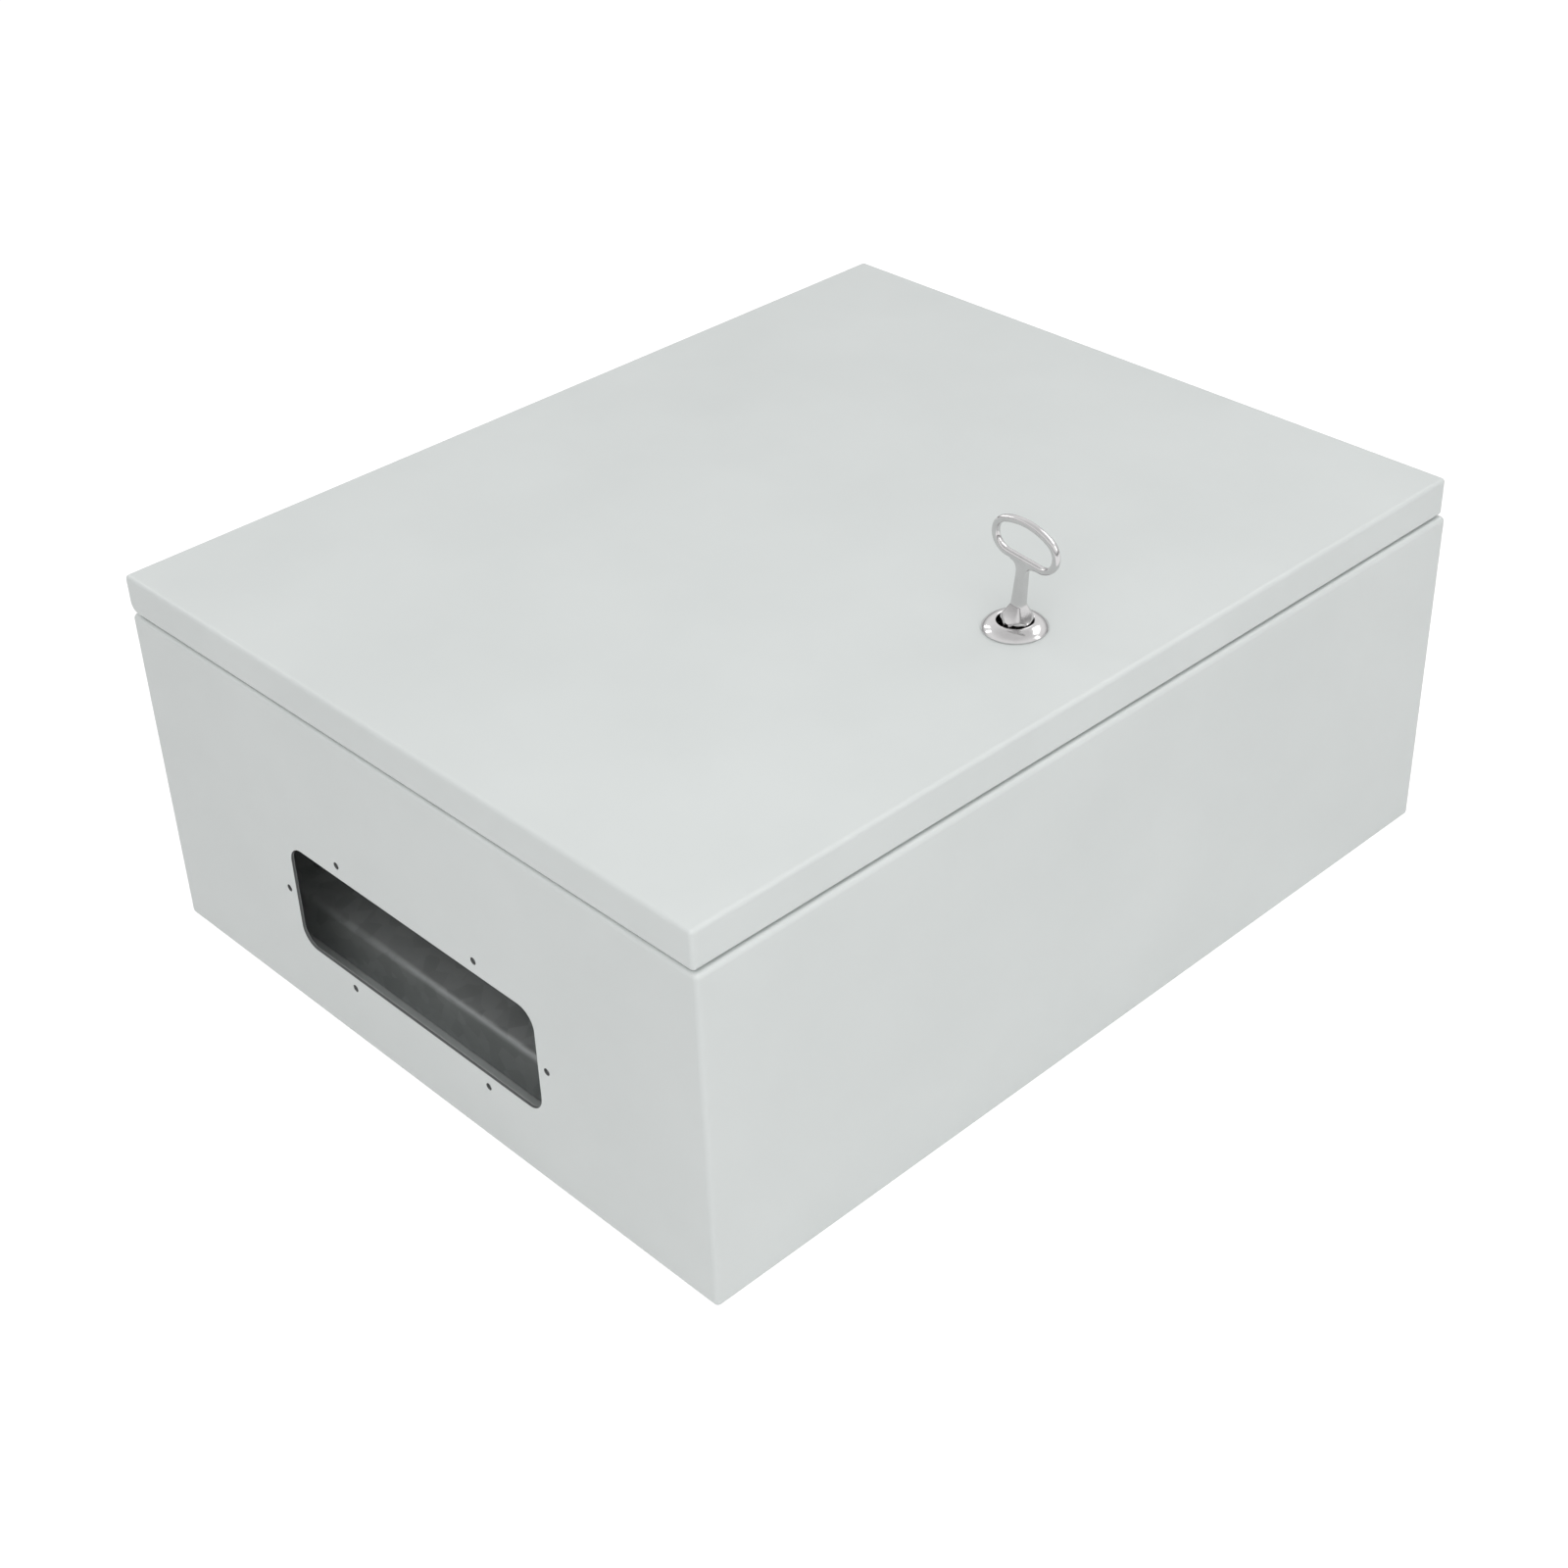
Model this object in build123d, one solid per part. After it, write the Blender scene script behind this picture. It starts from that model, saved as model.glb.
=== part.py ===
from build123d import *
import os

os.makedirs("parts", exist_ok=True)

# A steel wall enclosure with a hinged door, in millimetres. The origin is the centre of the back face.
# X is the width, Y the height up the wall, and Z the depth out of the wall towards the door.
WIDTH = 400.0
HEIGHT = 500.0
DEPTH = 200.0

# Body: a folded box whose walls turn in to a gutter shelf and up again to a sealing lip.
BODY_SHEET = 1.5
BODY_BEND = 1.0
GUTTER = 18.0
LIP_CORNER = 3.0
LIP_BEND = 0.8

# Door: a folded pan that stands over the lip. Its edges turn in again, and the hinge side has a wide bend.
# It is hung flush with the hinge side and the lower wall, so its play shows at the lock side and above.
DOOR_SHEET = 1.5
DOOR_PLAY = 1.6
DOOR_FLANGE = 20.0
DOOR_GAP = 1.2
DOOR_BEND = 0.6
HINGE_SIDE_BEND = 4.5
RETURN_WIDTH = 8.0
HINGE_SIDE_RETURN = 9.6
RETURN_CORNER = 3.0

# Gasket, foamed onto the door where it meets the lip.
GASKET_WIDTH = 11.0
GASKET_THICKNESS = 6.0
GASKET_ROUND = 2.0
GASKET_CORNER = 6.0
SEAL_GAP = 0.3

# Wall fixing holes in the back, and the cable opening in the lower wall with the holes of its cover.
WALL_HOLE_INSET = 25.0
WALL_HOLE_RADIUS = 4.25
CABLE_WIDTH = 180.0
CABLE_DEPTH = 58.0
CABLE_CORNER = 10.0
CABLE_CENTRE_Z = 69.0
COVER_HOLES_WIDTH = 101.0
COVER_HOLE_BESIDE = 7.0
COVER_END_HOLE_BESIDE = 6.0
COVER_HOLE_RADIUS = 1.9

# Mounting plate, with its two short edges folded back, on four studs.
PLATE_SHEET = 2.0
PLATE_BEND = 1.5
PLATE_MARGIN_X = 30.0
PLATE_MARGIN_Y = 30.0
PLATE_FOLD = 26.0
PLATE_CUT_CORNER = 12.0
PLATE_STUD_IN_X = 20.0
PLATE_STUD_IN_Y = 25.0
SPACER_LENGTH = 25.0
SPACER_RADIUS = 8.0
PLATE_HOLE_PLAY = 0.5

# M8 hardware on the plate and at both earth points.
STUD_RADIUS = 4.0
STUD_FOOT_RADIUS = 5.0
STUD_FOOT_HEIGHT = 0.8
STUD_TIP = 0.8
STUD_PROUD = 5.0
STUD_ROOM = 0.4
THREAD_PLAY = 0.05
WASHER_RADIUS = 8.0
WASHER_THICKNESS = 1.6
NUT_FLATS = 13.0
NUT_HEIGHT = 6.5
NUT_CHAMFER = 0.9
EARTH_GAP = 2.0
BODY_EARTH_IN_X = 15.0
BODY_EARTH_UP = 75.0
DOOR_EARTH_IN_X = 42.0
DOOR_EARTH_UP = 50.0

# Concealed hinges. Each has a bracket on the lip, a clevis in the door and a pin through both.
HINGE_FROM_END = 75.0
EYE_RADIUS = 4.0
PIN_RADIUS = 2.0
PIN_PLAY = 0.05
PIN_HEAD_RADIUS = 3.2
PIN_HEAD_HEIGHT = 1.2
PIN_PROUD = 0.6
PIN_TIP = 0.4
BRACKET_SHEET = 2.0
BRACKET_BEND = 1.0
BRACKET_LENGTH = 24.0
BRACKET_FOOT_CLEAR = 1.5
CLEVIS_SHEET = 2.0
CLEVIS_BEND = 0.5
CLEVIS_RIM = 0.4
CLEVIS_GAP = 0.4
EYE_CLEAR = 2.5
CLEVIS_WALL_CLEAR = 0.1
NOTCH_SIDE = 5.0
NOTCH_BELOW_AXIS = 2.0

# Hinge screws, from inside the lip into the bracket's foot.
HINGE_SCREW_RADIUS = 2.0
HINGE_SCREW_HEAD_RADIUS = 3.5
HINGE_SCREW_HEAD_HEIGHT = 2.2
HINGE_SCREW_PROUD = 0.6
HINGE_SCREW_PITCH = 12.0
HINGE_SCREW_DROP = 5.2
HINGE_SCREW_PLAY = 0.25
SOCKET_SHARE = 0.36
SOCKET_DEPTH_SHARE = 0.6

# Quarter-turn lock.
LOCK_FROM_SIDE = 61.0
LOCK_Y = 0.0
NECK_RADIUS = 11.0
NECK_FLATS = 20.0
NECK_PLAY = 0.25
ROSETTE_RADIUS = 15.25
ROSETTE_HEIGHT = 4.5
ROSETTE_RIM = 0.9
ROSETTE_CROWN = 9.6
ROSETTE_BULGE = 0.5
RECESS_RADIUS = 8.5
RECESS_EDGE = 0.7
RECESS_DEPTH = 9.0
SPINDLE_RADIUS = 6.0
SPINDLE_PLAY = 0.05
COLLAR_RADIUS = 8.0
COLLAR_HEIGHT = 2.0
AXIAL_PLAY = 0.1
SEAL_INNER = 11.6
SEAL_OUTER = 13.6
SEAL_THICKNESS = 1.2
SEAL_ROOM = 0.1
LOCK_WASHER_RADIUS = 14.0
LOCK_WASHER_THICKNESS = 1.0
LOCK_NUT_FLATS = 27.0
LOCK_NUT_HEIGHT = 5.0
LOCK_NUT_CHAMFER = 1.2

# The double-bit pin that the key turns, and the cam that it turns under the shelf.
BIT_RADIUS = 2.5
BIT_SPAN = 4.7
BIT_THICKNESS = 3.0
BIT_HEIGHT = 7.5
CAM_OVERLAP = 7.0
CAM_CLEAR = 0.7
CAM_THICKNESS = 3.0
CAM_HUB_RADIUS = 11.0
CAM_TIP_RADIUS = 8.0
CAM_LEAD = 1.2
CAM_SQUARE = 8.0
CAM_SQUARE_PLAY = 0.1
SQUARE_SHORT = 0.2
CAM_WASHER_RADIUS = 7.0
CAM_WASHER_THICKNESS = 1.2
CAM_SCREW_RADIUS = 3.0
CAM_SCREW_HEAD_RADIUS = 5.0
CAM_SCREW_HEAD_HEIGHT = 4.0
CAM_SCREW_LENGTH = 11.0
CAM_SCREW_END_ROOM = 0.5

# Key: a round barrel over the double bit, a flare up to a square stem, and an open bow.
# It stands loose on the bit, so it leans a little in the plane of its bow.
KEY_BARREL_RADIUS = 7.0
KEY_CLEAR = 0.7
KEY_LEAN = 6.3
KEY_FOOT_GAP = 1.1
KEY_SHOULDER = 5.5
KEY_FLARE = 8.0
KEY_STEM_WIDE = 5.6
KEY_STEM_NARROW = 4.7
KEY_STEM_LENGTH = 21.0
BOW_WIDTH = 38.5
BOW_HEIGHT = 24.0
BOW_END_RADIUS = 10.0
BOW_WIRE = 3.3
BOW_THICKNESS = 3.6
BOW_ROUND = 1.2
BOW_FLARE = 5.0

# Heights that follow from the sizes above.
DOOR_LOW = DEPTH - DOOR_FLANGE
SKIN_LOW = DEPTH - DOOR_SHEET
SHOULDER = DOOR_LOW - DOOR_GAP
SHELF_UNDER = SHOULDER - BODY_SHEET
GASKET_LOW = SKIN_LOW - GASKET_THICKNESS
LIP_TOP = GASKET_LOW - SEAL_GAP

# Outlines that follow from the sizes above.
LIP_WIDTH = WIDTH - 2 * GUTTER
LIP_HEIGHT = HEIGHT - 2 * GUTTER
MOUTH_WIDTH = LIP_WIDTH - 2 * BODY_SHEET
MOUTH_HEIGHT = LIP_HEIGHT - 2 * BODY_SHEET
DOOR_WIDTH = WIDTH - DOOR_PLAY
DOOR_HEIGHT = HEIGHT - DOOR_PLAY
DOOR_LEFT = -WIDTH / 2
DOOR_BOTTOM = -HEIGHT / 2
COVER_HOLES_DEPTH = CABLE_DEPTH + 2 * COVER_HOLE_BESIDE
COVER_END_HOLES = CABLE_WIDTH + 2 * COVER_END_HOLE_BESIDE
PLATE_WIDTH = WIDTH - 2 * PLATE_MARGIN_X
PLATE_HEIGHT = HEIGHT - 2 * PLATE_MARGIN_Y

# The hinge axis lies under the clevis's base, and as near to the door's flange as the clevis allows.
EAR_RADIUS = EYE_RADIUS + CLEVIS_RIM
HINGE_Z = SKIN_LOW - CLEVIS_SHEET - EYE_CLEAR - EYE_RADIUS
HINGE_X = DOOR_LEFT + DOOR_SHEET + DOOR_BEND + CLEVIS_WALL_CLEAR + EAR_RADIUS
HINGE_Y = HEIGHT / 2 - HINGE_FROM_END
CLEVIS_HALF = BRACKET_LENGTH / 2 + CLEVIS_GAP + CLEVIS_SHEET
HINGE_PLACES = {"lower": -HINGE_Y, "upper": HINGE_Y}

# The plate's heights, and the lock's heights from the cam up to the top of the bit.
PLATE_BACK = BODY_SHEET + SPACER_LENGTH
PLATE_FRONT = PLATE_BACK + PLATE_SHEET
LOCK_X = WIDTH / 2 - LOCK_FROM_SIDE
CAM_REACH = LOCK_FROM_SIDE - GUTTER + CAM_OVERLAP
CAM_TOP = SHELF_UNDER - CAM_CLEAR
CAM_LOW = CAM_TOP - CAM_THICKNESS
NECK_LOW = CAM_TOP + CAM_CLEAR
RECESS_FLOOR = DEPTH - RECESS_DEPTH
COLLAR_LOW = RECESS_FLOOR + AXIAL_PLAY
COLLAR_TOP = COLLAR_LOW + COLLAR_HEIGHT
BIT_TOP = COLLAR_TOP + BIT_HEIGHT
KEY_LOW = COLLAR_TOP + KEY_FOOT_GAP
KEY_PIVOT = (COLLAR_TOP + BIT_TOP) / 2
KEY_BARREL_TOP = DEPTH + KEY_SHOULDER
STEM_LOW = KEY_BARREL_TOP + KEY_FLARE
BOW_LOW = STEM_LOW + KEY_STEM_LENGTH

ON_BACK = (Align.CENTER, Align.CENTER, Align.MIN)
NEAR = 0.05
PAST = 5.0


def prism(outline, low, high):
    """An outline in the XY plane, drawn out between two heights."""
    return Pos(0, 0, low) * extrude(outline, high - low)


def span(left, right, low, high):
    """A rectangle between its four sides."""
    return Pos((left + right) / 2, (low + high) / 2) * Rectangle(right - left, high - low)


def ring(outer, inner, low, high):
    """A washer, sleeve or seal about the Z axis."""
    return prism(Circle(outer) - Circle(inner), low, high)


def four_places(width, height):
    """The corners of a rectangle about the centre of the box."""
    return GridLocations(width, height, 2, 2)


def group(places, solid):
    """One piece repeated at each place, as separate solids of one node."""
    return Compound(children=[place * solid for place in places])


def hex_nut(flats, bore, low, high, corner):
    """A hexagon nut whose corners are turned off at both ends."""
    hexagon = RegularPolygon(flats / 2, 6, major_radius=False)
    turned = Pos(0, 0, low) * Cylinder(flats / 2 + corner, high - low, align=ON_BACK)
    turned = chamfer(turned.edges().filter_by(GeomType.CIRCLE), corner)
    return (prism(hexagon, low, high) & turned) - prism(Circle(bore), low - PAST, high + PAST)


def weld_stud(root, tip):
    """A threaded stud on its weld foot, pointing from its root to its tip."""
    way = 1 if tip > root else -1
    length = abs(tip - root)
    shank = Cylinder(STUD_RADIUS, length, align=ON_BACK)
    shank = chamfer(shank.edges().sort_by(Axis.Z)[-1], STUD_TIP)
    stud = shank + Cylinder(STUD_FOOT_RADIUS, STUD_FOOT_HEIGHT, align=ON_BACK)
    if way < 0:
        stud = Rot(180, 0, 0) * stud
    return Pos(0, 0, root) * stud


def rounded_box(width, height, low, high, radius):
    """A box between two heights with all its edges rounded alike."""
    block = Pos(0, 0, low) * Box(width, height, high - low, align=ON_BACK)
    return fillet(block.edges(), radius)


def edges_of_outline(solid, level, width, height):
    """The edges at one height that lie no further out than a given rectangle."""
    edges = solid.edges().filter_by_position(Axis.Z, level - NEAR, level + NEAR)
    edges = edges.filter_by_position(Axis.X, -width / 2 - NEAR, width / 2 + NEAR)
    return edges.filter_by_position(Axis.Y, -height / 2 - NEAR, height / 2 + NEAR)


def lower_wall(depth_centre):
    """The plane of the lower wall's outside, about a point at one depth."""
    return Plane((0, -HEIGHT / 2, depth_centre), x_dir=(1, 0, 0), z_dir=(0, -1, 0))


def cable_opening():
    """What is cut from the lower wall: the opening and the six holes of its cover."""
    cuts = RectangleRounded(CABLE_WIDTH, CABLE_DEPTH, CABLE_CORNER)
    for place in GridLocations(COVER_HOLES_WIDTH, COVER_HOLES_DEPTH, 2, 2):
        cuts += place * Circle(COVER_HOLE_RADIUS)
    for place in GridLocations(COVER_END_HOLES, 0, 2, 1):
        cuts += place * Circle(COVER_HOLE_RADIUS)
    return extrude(lower_wall(CABLE_CENTRE_Z) * cuts, amount=BODY_SHEET + NEAR, both=True)


def hinge_screw_places():
    """Where each hinge screw crosses the lip: its height up the box and its depth."""
    middle = LIP_TOP - HINGE_SCREW_DROP
    half = HINGE_SCREW_PITCH / 2
    return [(y + step, middle) for y in HINGE_PLACES.values() for step in (-half, half)]


def across_lip(radius, start, end):
    """Rods along X at each hinge screw, between two distances from the middle plane."""
    rod = Rot(0, 90, 0) * Cylinder(radius, end - start, align=ON_BACK)
    return [Pos(start, y, z) * rod for y, z in hinge_screw_places()]


def nearest(outline, across, up):
    """The corner of an outline nearest to a point in its plane."""
    return outline.vertices().sort_by_distance((across, up, 0))[0]


def body_shell():
    """The folded box with its shelf and lip, and every hole in it."""
    outside = rounded_box(WIDTH, HEIGHT, 0, SHOULDER, BODY_BEND + BODY_SHEET)
    inner_width = WIDTH - 2 * BODY_SHEET
    inner_height = HEIGHT - 2 * BODY_SHEET
    inside = rounded_box(inner_width, inner_height, BODY_SHEET, SHELF_UNDER, BODY_BEND)
    lip_outline = RectangleRounded(LIP_WIDTH, LIP_HEIGHT, LIP_CORNER + BODY_SHEET)
    mouth_outline = RectangleRounded(MOUTH_WIDTH, MOUTH_HEIGHT, LIP_CORNER)
    shell = outside - inside + prism(lip_outline, SHELF_UNDER, LIP_TOP)
    shell -= prism(mouth_outline, SHELF_UNDER - PAST, LIP_TOP + PAST)
    shell = fillet(edges_of_outline(shell, SHOULDER, LIP_WIDTH, LIP_HEIGHT), LIP_BEND)
    under_edges = edges_of_outline(shell, SHELF_UNDER, MOUTH_WIDTH, MOUTH_HEIGHT)
    shell = fillet(under_edges, LIP_BEND + BODY_SHEET)
    shell -= cable_opening()
    wall_hole = Cylinder(WALL_HOLE_RADIUS, 2 * PAST)
    for place in four_places(WIDTH - 2 * WALL_HOLE_INSET, HEIGHT - 2 * WALL_HOLE_INSET):
        shell -= place * wall_hole
    screw_hole = HINGE_SCREW_RADIUS + HINGE_SCREW_PLAY
    for rod in across_lip(screw_hole, -LIP_WIDTH / 2 - NEAR, -MOUTH_WIDTH / 2 + NEAR):
        shell -= rod
    return shell


def mounting_plate():
    """A flat plate, its lower and upper edges folded back and its corners cut off."""
    half = PLATE_HEIGHT / 2
    low = PLATE_FRONT - PLATE_FOLD
    outer = span(-half, half, low, PLATE_FRONT)
    outer = fillet(outer.vertices().group_by(Axis.Y)[-1], PLATE_BEND + PLATE_SHEET)
    inner = span(-half + PLATE_SHEET, half - PLATE_SHEET, low - PAST, PLATE_BACK)
    inner = fillet(inner.vertices().group_by(Axis.Y)[-1], PLATE_BEND)
    plate = extrude(Plane.YZ * (outer - inner), amount=PLATE_WIDTH / 2, both=True)
    face = Rectangle(PLATE_WIDTH, PLATE_HEIGHT)
    face = chamfer(face.vertices(), PLATE_CUT_CORNER)
    plate = plate & prism(face, low - PAST, PLATE_FRONT + PAST)
    for place in plate_places():
        plate -= place * prism(Circle(STUD_RADIUS + PLATE_HOLE_PLAY), PLATE_BACK - PAST, PLATE_FRONT + PAST)
    return plate


def plate_places():
    """Where the plate's four studs stand."""
    return four_places(PLATE_WIDTH - 2 * PLATE_STUD_IN_X, PLATE_HEIGHT - 2 * PLATE_STUD_IN_Y)


def plate_hardware():
    """The studs, spacers, washers and nuts that carry the plate, each kind as one node."""
    washer_top = PLATE_FRONT + WASHER_THICKNESS
    nut_top = washer_top + NUT_HEIGHT
    spacer = ring(SPACER_RADIUS, STUD_FOOT_RADIUS + STUD_ROOM, BODY_SHEET, PLATE_BACK)
    washer = ring(WASHER_RADIUS, STUD_RADIUS + STUD_ROOM, PLATE_FRONT, washer_top)
    nut = hex_nut(NUT_FLATS, STUD_RADIUS + THREAD_PLAY, washer_top, nut_top, NUT_CHAMFER)
    stud = weld_stud(BODY_SHEET, nut_top + STUD_PROUD)
    kinds = {"plate_studs": stud, "plate_spacers": spacer, "plate_washers": washer, "plate_nuts": nut}
    return {name: group(plate_places(), piece) for name, piece in kinds.items()}


def earth_point(owner, root, way, x, y):
    """A stud, washer and nut for an earth wire, on the body's back or on the door's inside."""
    seat = root + way * (STUD_FOOT_HEIGHT + EARTH_GAP)
    washer_end = seat + way * WASHER_THICKNESS
    nut_end = washer_end + way * NUT_HEIGHT
    low, high = sorted((seat, washer_end))
    washer = ring(WASHER_RADIUS, STUD_RADIUS + STUD_ROOM, low, high)
    low, high = sorted((washer_end, nut_end))
    nut = hex_nut(NUT_FLATS, STUD_RADIUS + THREAD_PLAY, low, high, NUT_CHAMFER)
    stud = weld_stud(root, nut_end + way * STUD_PROUD)
    pieces = {"stud": stud, "washer": washer, "nut": nut}
    return {f"{owner}_earth_{name}": Pos(x, y, 0) * piece for name, piece in pieces.items()}


def pan(width, height, low, high, hinge_bend, bend):
    """A shallow block with rounded edges, and a wider bend along the back edge of its hinge side."""
    door_centre = Pos(DOOR_LEFT + DOOR_WIDTH / 2, DOOR_BOTTOM + DOOR_HEIGHT / 2, 0)
    profile = span(-width / 2, width / 2, low, high)
    profile = fillet(nearest(profile, -width / 2, low), hinge_bend)
    block = extrude(Plane.XZ * profile, amount=height / 2, both=True)
    smooth_lines = [(-width / 2, low + hinge_bend), (-width / 2 + hinge_bend, low)]

    def is_sharp(edge):
        centre = edge.center()
        gaps = [abs(centre.X - x) + abs(centre.Z - z) for x, z in smooth_lines]
        return min(gaps) > NEAR

    return door_centre * fillet(block.edges().filter_by(is_sharp), bend)


def door_panel():
    """The folded door with its lock hole, and a notch in the hinge side's fold at each hinge."""
    outside = pan(
        DOOR_WIDTH, DOOR_HEIGHT, DOOR_LOW, DEPTH,
        HINGE_SIDE_BEND + DOOR_SHEET, DOOR_BEND + DOOR_SHEET,
    )
    inside = pan(
        DOOR_WIDTH - 2 * DOOR_SHEET, DOOR_HEIGHT - 2 * DOOR_SHEET, DOOR_LOW + DOOR_SHEET, SKIN_LOW,
        HINGE_SIDE_BEND, DOOR_BEND,
    )
    left = DOOR_LEFT + HINGE_SIDE_RETURN
    right = DOOR_LEFT + DOOR_WIDTH - RETURN_WIDTH
    bottom = DOOR_BOTTOM + RETURN_WIDTH
    top = DOOR_BOTTOM + DOOR_HEIGHT - RETURN_WIDTH
    opening = span(left, right, bottom, top)
    opening = fillet(opening.vertices(), RETURN_CORNER)
    panel = outside - inside - prism(opening, DOOR_LOW - PAST, DOOR_LOW + DOOR_SHEET + NEAR)
    notch_top = HINGE_Z - NOTCH_BELOW_AXIS
    notch_half = BRACKET_LENGTH / 2 + NOTCH_SIDE
    for y in HINGE_PLACES.values():
        notch = span(DOOR_LEFT - PAST, left + PAST, y - notch_half, y + notch_half)
        panel -= prism(notch, DOOR_LOW - PAST, notch_top)
    hole = neck_outline(NECK_RADIUS + NECK_PLAY, NECK_FLATS + 2 * NECK_PLAY)
    return panel - Pos(LOCK_X, LOCK_Y, 0) * prism(hole, SKIN_LOW - PAST, DEPTH + PAST)


def door_gasket():
    """A foamed strip all round the door, its free edges rounded, centred over the lip."""
    centre_width = LIP_WIDTH - BODY_SHEET
    centre_height = LIP_HEIGHT - BODY_SHEET
    outer = RectangleRounded(centre_width + GASKET_WIDTH, centre_height + GASKET_WIDTH, GASKET_CORNER)
    inner = RectangleRounded(centre_width - GASKET_WIDTH, centre_height - GASKET_WIDTH, GASKET_CORNER)
    strip = prism(outer - inner, GASKET_LOW, SKIN_LOW)
    return fillet(strip.faces().sort_by(Axis.Z)[0].edges(), GASKET_ROUND)


def hinge_bracket():
    """The body's half of a hinge: an eye on an arm, folded down the outside of the lip."""
    lip_x = -LIP_WIDTH / 2 - HINGE_X
    top = LIP_TOP - HINGE_Z
    foot_low = SHOULDER + BRACKET_FOOT_CLEAR - HINGE_Z
    arm = span(0, lip_x, top - BRACKET_SHEET, top)
    foot = span(lip_x - BRACKET_SHEET, lip_x, foot_low, top)
    strap = arm + foot
    strap = fillet(nearest(strap, lip_x, top), BRACKET_BEND + BRACKET_SHEET)
    strap = fillet(nearest(strap, lip_x - BRACKET_SHEET, top - BRACKET_SHEET), BRACKET_BEND)
    profile = strap + Circle(EYE_RADIUS) - Circle(PIN_RADIUS + PIN_PLAY)
    return extrude(Plane.XZ * profile, amount=BRACKET_LENGTH / 2, both=True)


def hinge_clevis():
    """The door's half of a hinge: a folded U whose two ears hold the pin."""
    ceiling = SKIN_LOW - HINGE_Z
    side = Circle(EAR_RADIUS) + span(-EAR_RADIUS, EAR_RADIUS, 0, ceiling) - Circle(PIN_RADIUS)
    side = extrude(Plane.XZ * side, amount=CLEVIS_HALF, both=True)
    outer = span(-CLEVIS_HALF, CLEVIS_HALF, -EAR_RADIUS, ceiling)
    outer = fillet(outer.vertices().group_by(Axis.Y)[-1], CLEVIS_BEND + CLEVIS_SHEET)
    room = CLEVIS_HALF - CLEVIS_SHEET
    inner = span(-room, room, -EAR_RADIUS - PAST, ceiling - CLEVIS_SHEET)
    inner = fillet(inner.vertices().group_by(Axis.Y)[-1], CLEVIS_BEND)
    folded = extrude(Plane.YZ * (outer - inner), amount=EAR_RADIUS, both=True)
    return side & folded


def hinge_pin():
    """A headed pin along the height of the box, its head uppermost."""
    shank = Cylinder(PIN_RADIUS, 2 * CLEVIS_HALF + PIN_PROUD, align=ON_BACK)
    shank = chamfer(shank.edges().sort_by(Axis.Z)[0], PIN_TIP)
    head = Pos(0, 0, 2 * CLEVIS_HALF + PIN_PROUD) * Cylinder(PIN_HEAD_RADIUS, PIN_HEAD_HEIGHT, align=ON_BACK)
    pin = Pos(0, 0, -CLEVIS_HALF - PIN_PROUD) * (shank + head)
    return Rot(-90, 0, 0) * pin


def socket_screw(radius, length, head_radius, head_height):
    """A screw about the Z axis: its head stands on the plane and its shank goes down from it."""
    head = Cylinder(head_radius, head_height, align=ON_BACK)
    head = fillet(head.edges().sort_by(Axis.Z)[-1], head_height / 2)
    socket = RegularPolygon(head_radius * SOCKET_SHARE, 6, major_radius=False)
    socket = prism(socket, head_height * (1 - SOCKET_DEPTH_SHARE), head_height + PAST)
    shank = Pos(0, 0, -length) * Cylinder(radius, length, align=ON_BACK)
    return head + shank - socket


def hinge_screws():
    """Two screws for each bracket, their heads inside the lip."""
    length = BODY_SHEET + BRACKET_SHEET + HINGE_SCREW_PROUD
    screw = socket_screw(HINGE_SCREW_RADIUS, length, HINGE_SCREW_HEAD_RADIUS, HINGE_SCREW_HEAD_HEIGHT)
    screw = Rot(0, 90, 0) * screw
    return Compound(children=[Pos(-MOUTH_WIDTH / 2, y, z) * screw for y, z in hinge_screw_places()])


def neck_outline(radius, flats):
    """A circle with two flats, which keeps the lock from turning in the door."""
    return Circle(radius) & Rectangle(2 * radius, flats)


def lock_housing():
    """The rosette on the door's face and the neck through it, bored for the key and the spindle."""
    top = DEPTH + ROSETTE_HEIGHT
    rim = DEPTH + ROSETTE_RIM
    bulge = ((ROSETTE_RADIUS + ROSETTE_CROWN) / 2 + ROSETTE_BULGE, (rim + top) / 2 + ROSETTE_BULGE)
    edge = Line((0, DEPTH), (ROSETTE_RADIUS, DEPTH)) + Line((ROSETTE_RADIUS, DEPTH), (ROSETTE_RADIUS, rim))
    edge += ThreePointArc((ROSETTE_RADIUS, rim), bulge, (ROSETTE_CROWN, top))
    edge += Line((ROSETTE_CROWN, top), (0, top)) + Line((0, top), (0, DEPTH))
    rosette = revolve(Plane.XZ * make_face(edge), Axis.Z)
    neck = prism(neck_outline(NECK_RADIUS, NECK_FLATS), NECK_LOW, DEPTH)
    housing = rosette + neck
    housing -= prism(Circle(RECESS_RADIUS), RECESS_FLOOR, top + PAST)
    rims = housing.edges().filter_by(GeomType.CIRCLE).filter_by_position(Axis.Z, top - NEAR, top + NEAR)
    housing = fillet(rims.sort_by(SortBy.RADIUS)[0], RECESS_EDGE)
    housing -= prism(Circle(SPINDLE_RADIUS + SPINDLE_PLAY), NECK_LOW - PAST, RECESS_FLOOR + PAST)
    groove_top = DEPTH + SEAL_THICKNESS + SEAL_ROOM
    return housing - ring(SEAL_OUTER + SEAL_ROOM, SEAL_INNER - SEAL_ROOM, DEPTH - PAST, groove_top)


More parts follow.
